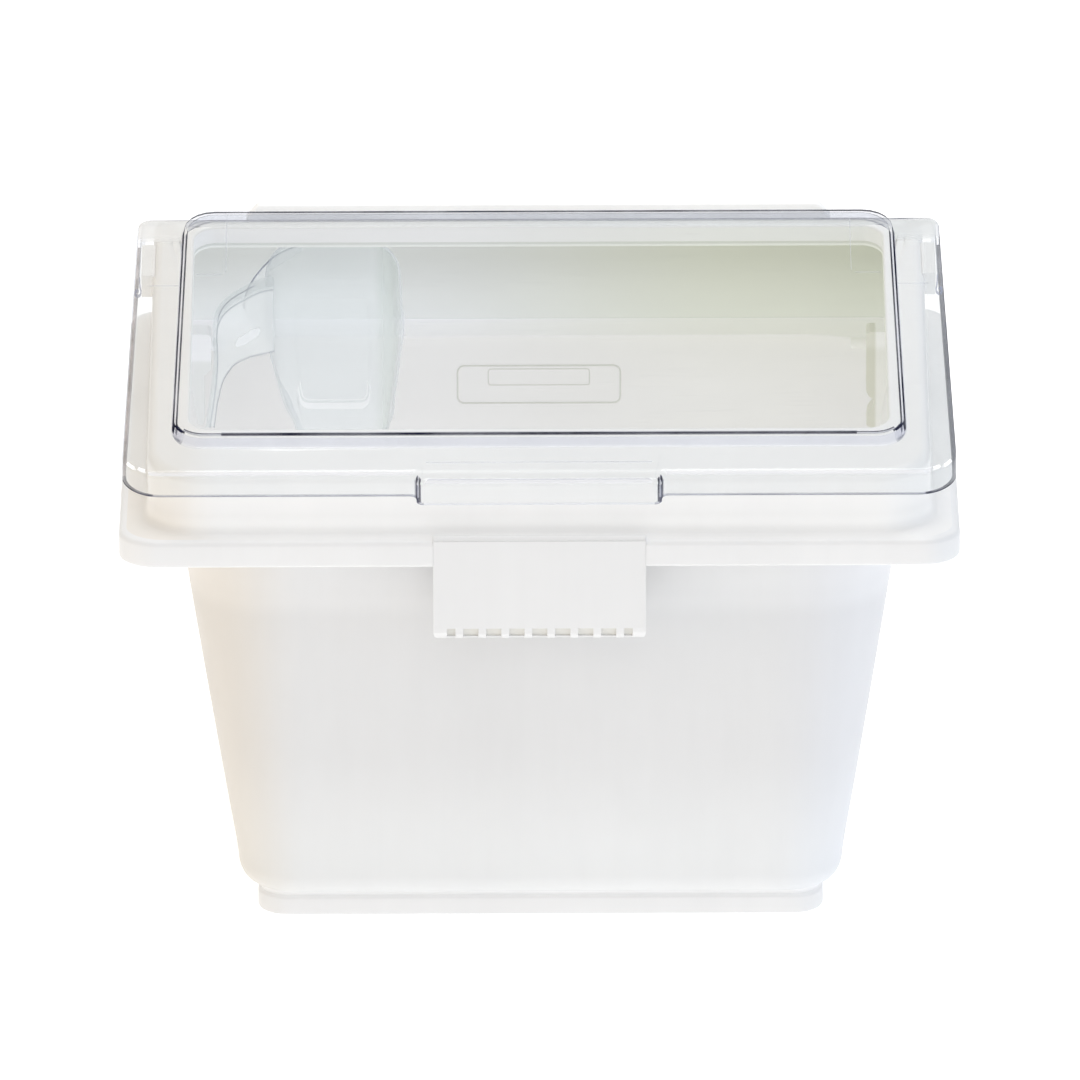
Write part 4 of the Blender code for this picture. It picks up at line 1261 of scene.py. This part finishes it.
# handle's middle line, inner edge of its web, gusset at the rim: x, z
HANDLE = [
    (-192.5, 377.5), (-200.0, 376.0), (-207.0, 373.3), (-213.8, 369.6), (-220.5, 365.6),
    (-226.5, 361.0), (-231.4, 355.0), (-234.3, 347.5), (-235.0, 339.0), (-234.6, 329.0),
    (-234.6, 318.0), (-235.6, 305.0), (-237.2, 292.0), (-239.0, 280.0), (-240.5, 270.0)]
WEB_INNER = [
    (-192.0, 329.0), (-197.0, 327.6), (-201.0, 326.7), (-209.5, 324.8), (-217.8, 321.0),
    (-222.5, 317.5), (-226.0, 312.6), (-228.8, 308.0), (-230.6, 303.5), (-232.2, 296.5),
    (-233.8, 289.7), (-235.2, 280.0), (-236.4, 270.0)]
GUSSET_OUTER = [
    (-172.0, 392.6), (-180.0, 390.4), (-187.0, 387.2), (-194.0, 382.6), (-200.5, 376.0),
    (-206.5, 368.3), (-211.2, 360.5), (-214.2, 351.5), (-214.6, 344.0)]
GUSSET_INNER = [(-211.0, 334.0), (-203.0, 322.0), (-196.5, 316.0), (-196.5, 372.0),
                (-172.0, 388.0)]
# painted highlight: outline of a thin raised patch on the handle's front that carries a glint
HANDLE_GLINT = [(-222.0, 331.5), (-213.0, 334.2), (-203.5, 341.0), (-201.5, 347.5),
             (-209.0, 345.5), (-218.5, 338.5)]
TOWARDS_FRONT = (0, -1, 0)


def width_factor(rows, z):
    """Smooth interpolation between the rows."""
    if z <= rows[0][0]:
        return rows[0][1]
    for (z0, value0), (z1, value1) in zip(rows, rows[1:]):
        if z <= z1:
            t = (z - z0) / (z1 - z0)
            t = t * t * (3.0 - 2.0 * t)
            return value0 + (value1 - value0) * t
    return rows[-1][1]


def bowl_ring(y, shift_x, shift_z, half_x, half_z, r):
    """Rounded rectangle standing at y, narrowed towards its lower end."""
    mid_x, mid_z = BOWL_X + shift_x, BOWL_Z + shift_z
    in_x, in_z = half_x - r, half_z - r
    side = [in_z * (1.0 - 2.0 * k / 16) for k in range(1, 16)]
    outline = arc(mid_x + in_x, mid_z + in_z, r, 0.0, 90.0, 10)
    outline += arc(mid_x - in_x, mid_z + in_z, r, 90.0, 180.0, 10)
    outline += [(mid_x - half_x, mid_z + z) for z in side]
    outline += arc(mid_x - in_x, mid_z - in_z, r, 180.0, 270.0, 10)
    outline += arc(mid_x + in_x, mid_z - in_z, r, 270.0, 360.0, 10)
    outline += [(mid_x + half_x, mid_z - z) for z in side]
    ring = []
    for x, z in outline:
        rows = NARROW_LEFT if x < mid_x else NARROW_RIGHT
        ring.append((mid_x + (x - mid_x) * width_factor(rows, z), y, z))
    return ring


def make_scoop_bowl():
    bm = bmesh.new()
    rings = [points(bowl_ring(*row[:6])) for row in BOWL_RINGS]
    loops = skin(bm, rings, [row[6] for row in BOWL_RINGS])
    # painted highlight: only the lower part of the recess gets the glint material
    for face in bm.faces:
        if face.material_index == 2 and face.calc_center_median().z > 0.305:
            face.material_index = 0
    bm.faces.new(loops[0][::-1])
    bm.faces.new(loops[-1])
    part("scoop_bowl", bm, [SCOOP, SCOOP_RIM, SCOOP_GLINT], SCOOP_ROLE, sharp=45)


def make_scoop_handle():
    """Curved strap with a hole for the peg, a web at its front and fine beads on its edges."""
    front = 366.0
    line = smooth_curve(HANDLE, 4)
    bm = bmesh.new()
    add_prism(bm, ribbon(line, 1.7), "y", front, 387.0)
    strap = build("scoop_handle", bm, [SCOOP], SCOOP_ROLE, sharp=45)
    cut_away(strap, cutter_rod(PEG_Y, PEG_Z, 5.2, -246.0, -226.0))
    strap.data.shade_smooth()
    round_edges(strap, 0.6, segments=2)
    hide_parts(SCOOP_ROLE[2])

    prism_part("scoop_handle_web", line + WEB_INNER[::-1], "y", front, 368.4, SCOOP_WEB,
               SCOOP_ROLE, sharp=30, bevel=0.5, segments=2)

    rear_edge = [(x, 386.6, z) for x, z in offset(line, 1.6) if x < -205.0 and z > 338.0]
    front_edge = [(x, front, z) for x, z in offset(line, 1.2)]
    web_edge = [(x, front, z) for x, z in WEB_INNER]
    bm = bmesh.new()
    add_bead(bm, rear_edge, width=1.0, height=0.9, up=TOWARDS_FRONT)
    add_bead(bm, front_edge, width=1.0, height=0.7, up=TOWARDS_FRONT, slot=1)
    add_bead(bm, web_edge, width=1.2, height=0.7, up=TOWARDS_FRONT, slot=1)
    part("scoop_handle_beads", bm, [SCOOP_EDGE, SCOOP_PALE], SCOOP_ROLE, sharp=50)


def make_scoop_gusset():
    """Plate between the rim and the handle, with a fine bead along its outer edge."""
    front = 415.8
    prism_part("scoop_gusset", soft_corners(GUSSET_OUTER + GUSSET_INNER, 1.0, 3), "y",
               front, 418.0, SCOOP_WEB, SCOOP_ROLE, sharp=30, bevel=0.5, segments=2)
    bm = bmesh.new()
    add_bead(bm, [(x, front, z) for x, z in GUSSET_OUTER], width=1.1, height=0.8,
             up=TOWARDS_FRONT)
    part("scoop_gusset_bead", bm, [SCOOP_EDGE], SCOOP_ROLE, sharp=50)


# painted highlight on the handle, as a thin raised patch in the glint material
def make_handle_glint():
    outline = soft_corners(HANDLE_GLINT, [2.0, 4.0, 4.0, 1.5, 4.0, 4.0], 5)
    prism_part("scoop_handle_glint", outline, "y", 365.2, 366.6, SCOOP_GLINT, SCOOP_ROLE,
               sharp=30, bevel=0.4, segments=2)


# ============================================================ hangers and blank plate
# front view of a hanger, drawn for the right-hand side: x, z
HANGER_TOP = [(272.0, TUB_TOP + 0.5), (272.0, 340.0), (266.0, 342.0), (240.0, 342.0),
              (238.0, 340.0)]
HANGER_LEFT = HANGER_TOP + [
    (238.0, TUB_TOP + 3.0), (243.4, TUB_TOP - 2.0), (243.2, 276.0), (244.6, 272.0),
    (248.2, 272.0), (255.0, TUB_TOP + 0.5)]
HANGER_RIGHT = HANGER_TOP + [
    (238.0, 296.0), (240.0, 292.0), (243.0, 290.0), (243.0, 284.0), (239.0, 278.0),
    (238.0, 270.0), (244.0, 266.0), (247.2, 268.0), (255.0, TUB_TOP + 0.5)]


def make_hangers():
    """Saddle over each side of the tub's flange, with a peg pointing inwards."""
    for side, tag, profile, material, peg_material in (
            (-1, "left", HANGER_LEFT, HOOK_LEFT, HOOK_LEFT),
            (1, "right", HANGER_RIGHT, HOOK_RIGHT, PEG_RIGHT)):
        role = ("tub_body", "hook_plastic", "scoop_hook_" + tag)
        radii = [0.6, 2.5, 3.0, 2.5, 2.0] + [1.6] * (len(profile) - 6) + [0.3]
        outline = soft_corners([(side * x, z) for x, z in profile], radii, 5)
        prism_part("hanger_" + tag, outline, "y", PEG_Y - 10.0, PEG_Y + 10.0, material, role,
                   bevel=0.8)
        start, end = sorted((side * 239.0, side * 226.5))
        prism_part("hanger_peg_" + tag, circle(PEG_Y, PEG_Z, 4.0, 32), "x", start, end,
                   peg_material, role, bevel=0.8, angle=60)


def rear_wall_y(z):
    """Inner face of the tub's rear wall, a hair in front of it."""
    t = tub_height(z)
    return DEPTH - tub_front(t) - WALL - 0.05 + tub_swell(t)


def make_blank_plate():
    """Two raised frames, one inside the other, on the rear inner wall."""
    tilt = math.atan2(TUB_FRONT - TUB_TOP_FRONT, TUB_TOP - TUB_BASE_Z)
    away = (0.0, -math.cos(tilt), math.sin(tilt))
    bm = bmesh.new()
    # half width, bottom, top, corner radius, bead width, bead height
    for half, low, high, radius, width, height in ((59.5, 261.0, 289.0, 5.0, 1.3, 0.7),
                                                   (37.0, 274.5, 286.5, 2.0, 0.8, 0.35)):
        outline = soft_corners([(-half, low), (half, low), (half, high), (-half, high)], radius)
        path = [(x, rear_wall_y(z), z) for x, z in outline]
        add_bead(bm, path + path[:2], width, height, away)
    part("tub_blank_plate", bm, [TUB_PLATE], TUB_ROLE, sharp=50)


make_hood_features()
make_latch()
make_scoop_bowl()
make_scoop_handle()
make_scoop_gusset()
make_handle_glint()
make_hangers()
make_blank_plate()


# ============================================================ floor, lights, world, camera
def make_floor():
    bm = bmesh.new()
    bmesh.ops.create_grid(bm, x_segments=8, y_segments=8, size=6.0)
    ob = link_mesh(bpy.data.meshes.new("floor"), "floor", bm)
    mat = Material("floor_paper")
    tones = mat.ramp(mat.noise(scale=3.0, detail=3.0), [(0.3, 0.93), (0.7, 0.96)])
    paper = mat.add("BsdfPrincipled", Roughness=0.9, Base_Color=tones,
                    Emission_Color=(1, 1, 1, 1), Emission_Strength=0.48)
    ob.data.materials.append(mat.finish(paper))


def area_light(name, location, target, size, power, colour=(1, 1, 1)):
    light = bpy.data.lights.new(name, "AREA")
    light.energy = power
    light.color = colour
    light.size = size
    ob = bpy.data.objects.new(name, light)
    bpy.context.scene.collection.objects.link(ob)
    ob.location = location
    direction = Vector(target) - Vector(location)
    ob.rotation_euler = direction.to_track_quat("-Z", "Y").to_euler()


def make_lights():
    area_light("key", location=(0.5, -2.6, 3.0), target=(0, 0.05, 0.30), size=2.0, power=9)
    area_light("overhead", location=(0.1, 0.3, 2.6), target=(0, 0.05, 0.30), size=1.2, power=20)
    area_light("side_left", location=(-3.0, -1.6, 0.9), target=(0, 0, 0.2), size=1.4,
               power=7.5, colour=(1.0, 0.76, 0.46))
    area_light("side_right", location=(3.0, -1.6, 0.9), target=(0, 0, 0.2), size=1.4,
               power=6.5, colour=(0.60, 0.80, 1.0))


def make_world():
    """Soft dome, a little warmer from the left and cooler from the right."""
    world = bpy.data.worlds.new("world")
    bpy.context.scene.world = world
    world.use_nodes = True
    graph = Graph(world.node_tree)
    background = world.node_tree.nodes["Background"]
    direction = graph.add("TexCoord").outputs["Generated"]
    across = graph.add("SeparateXYZ", direction).outputs["X"]
    dome = graph.ramp(graph.span(across, low=-1.0, high=1.0),
                      [(0.10, (1.0, 0.95, 0.86)), (0.5, 1.0), (0.90, (0.95, 0.98, 1.04))])
    graph.feed(background.inputs["Color"], dome)
    background.inputs["Strength"].default_value = 0.62


def make_camera():
    """Long lens in front of the bin, looking back and down at it."""
    elevation = math.radians(20.574)
    roll = math.radians(0.2056)
    distance = 13.18
    aim = Vector((0.000417, 0.0, 0.22720))
    data = bpy.data.cameras.new("camera")
    camera = bpy.data.objects.new("camera", data)
    scene = bpy.context.scene
    scene.collection.objects.link(camera)
    scene.camera = camera
    forward = Vector((0, math.cos(elevation), -math.sin(elevation)))
    camera.location = aim - forward * distance
    camera.rotation_mode = "QUATERNION"
    camera.rotation_quaternion = Quaternion(forward, roll) @ forward.to_track_quat("-Z", "Y")
    data.sensor_fit = "HORIZONTAL"
    data.sensor_width = 36.0
    data.lens = 608.348333
    data.clip_end = 50.0


make_floor()
make_lights()
make_world()
view = bpy.context.scene.view_settings
view.view_transform = "Standard"
view.look = "None"
view.exposure = 0.0
make_camera()
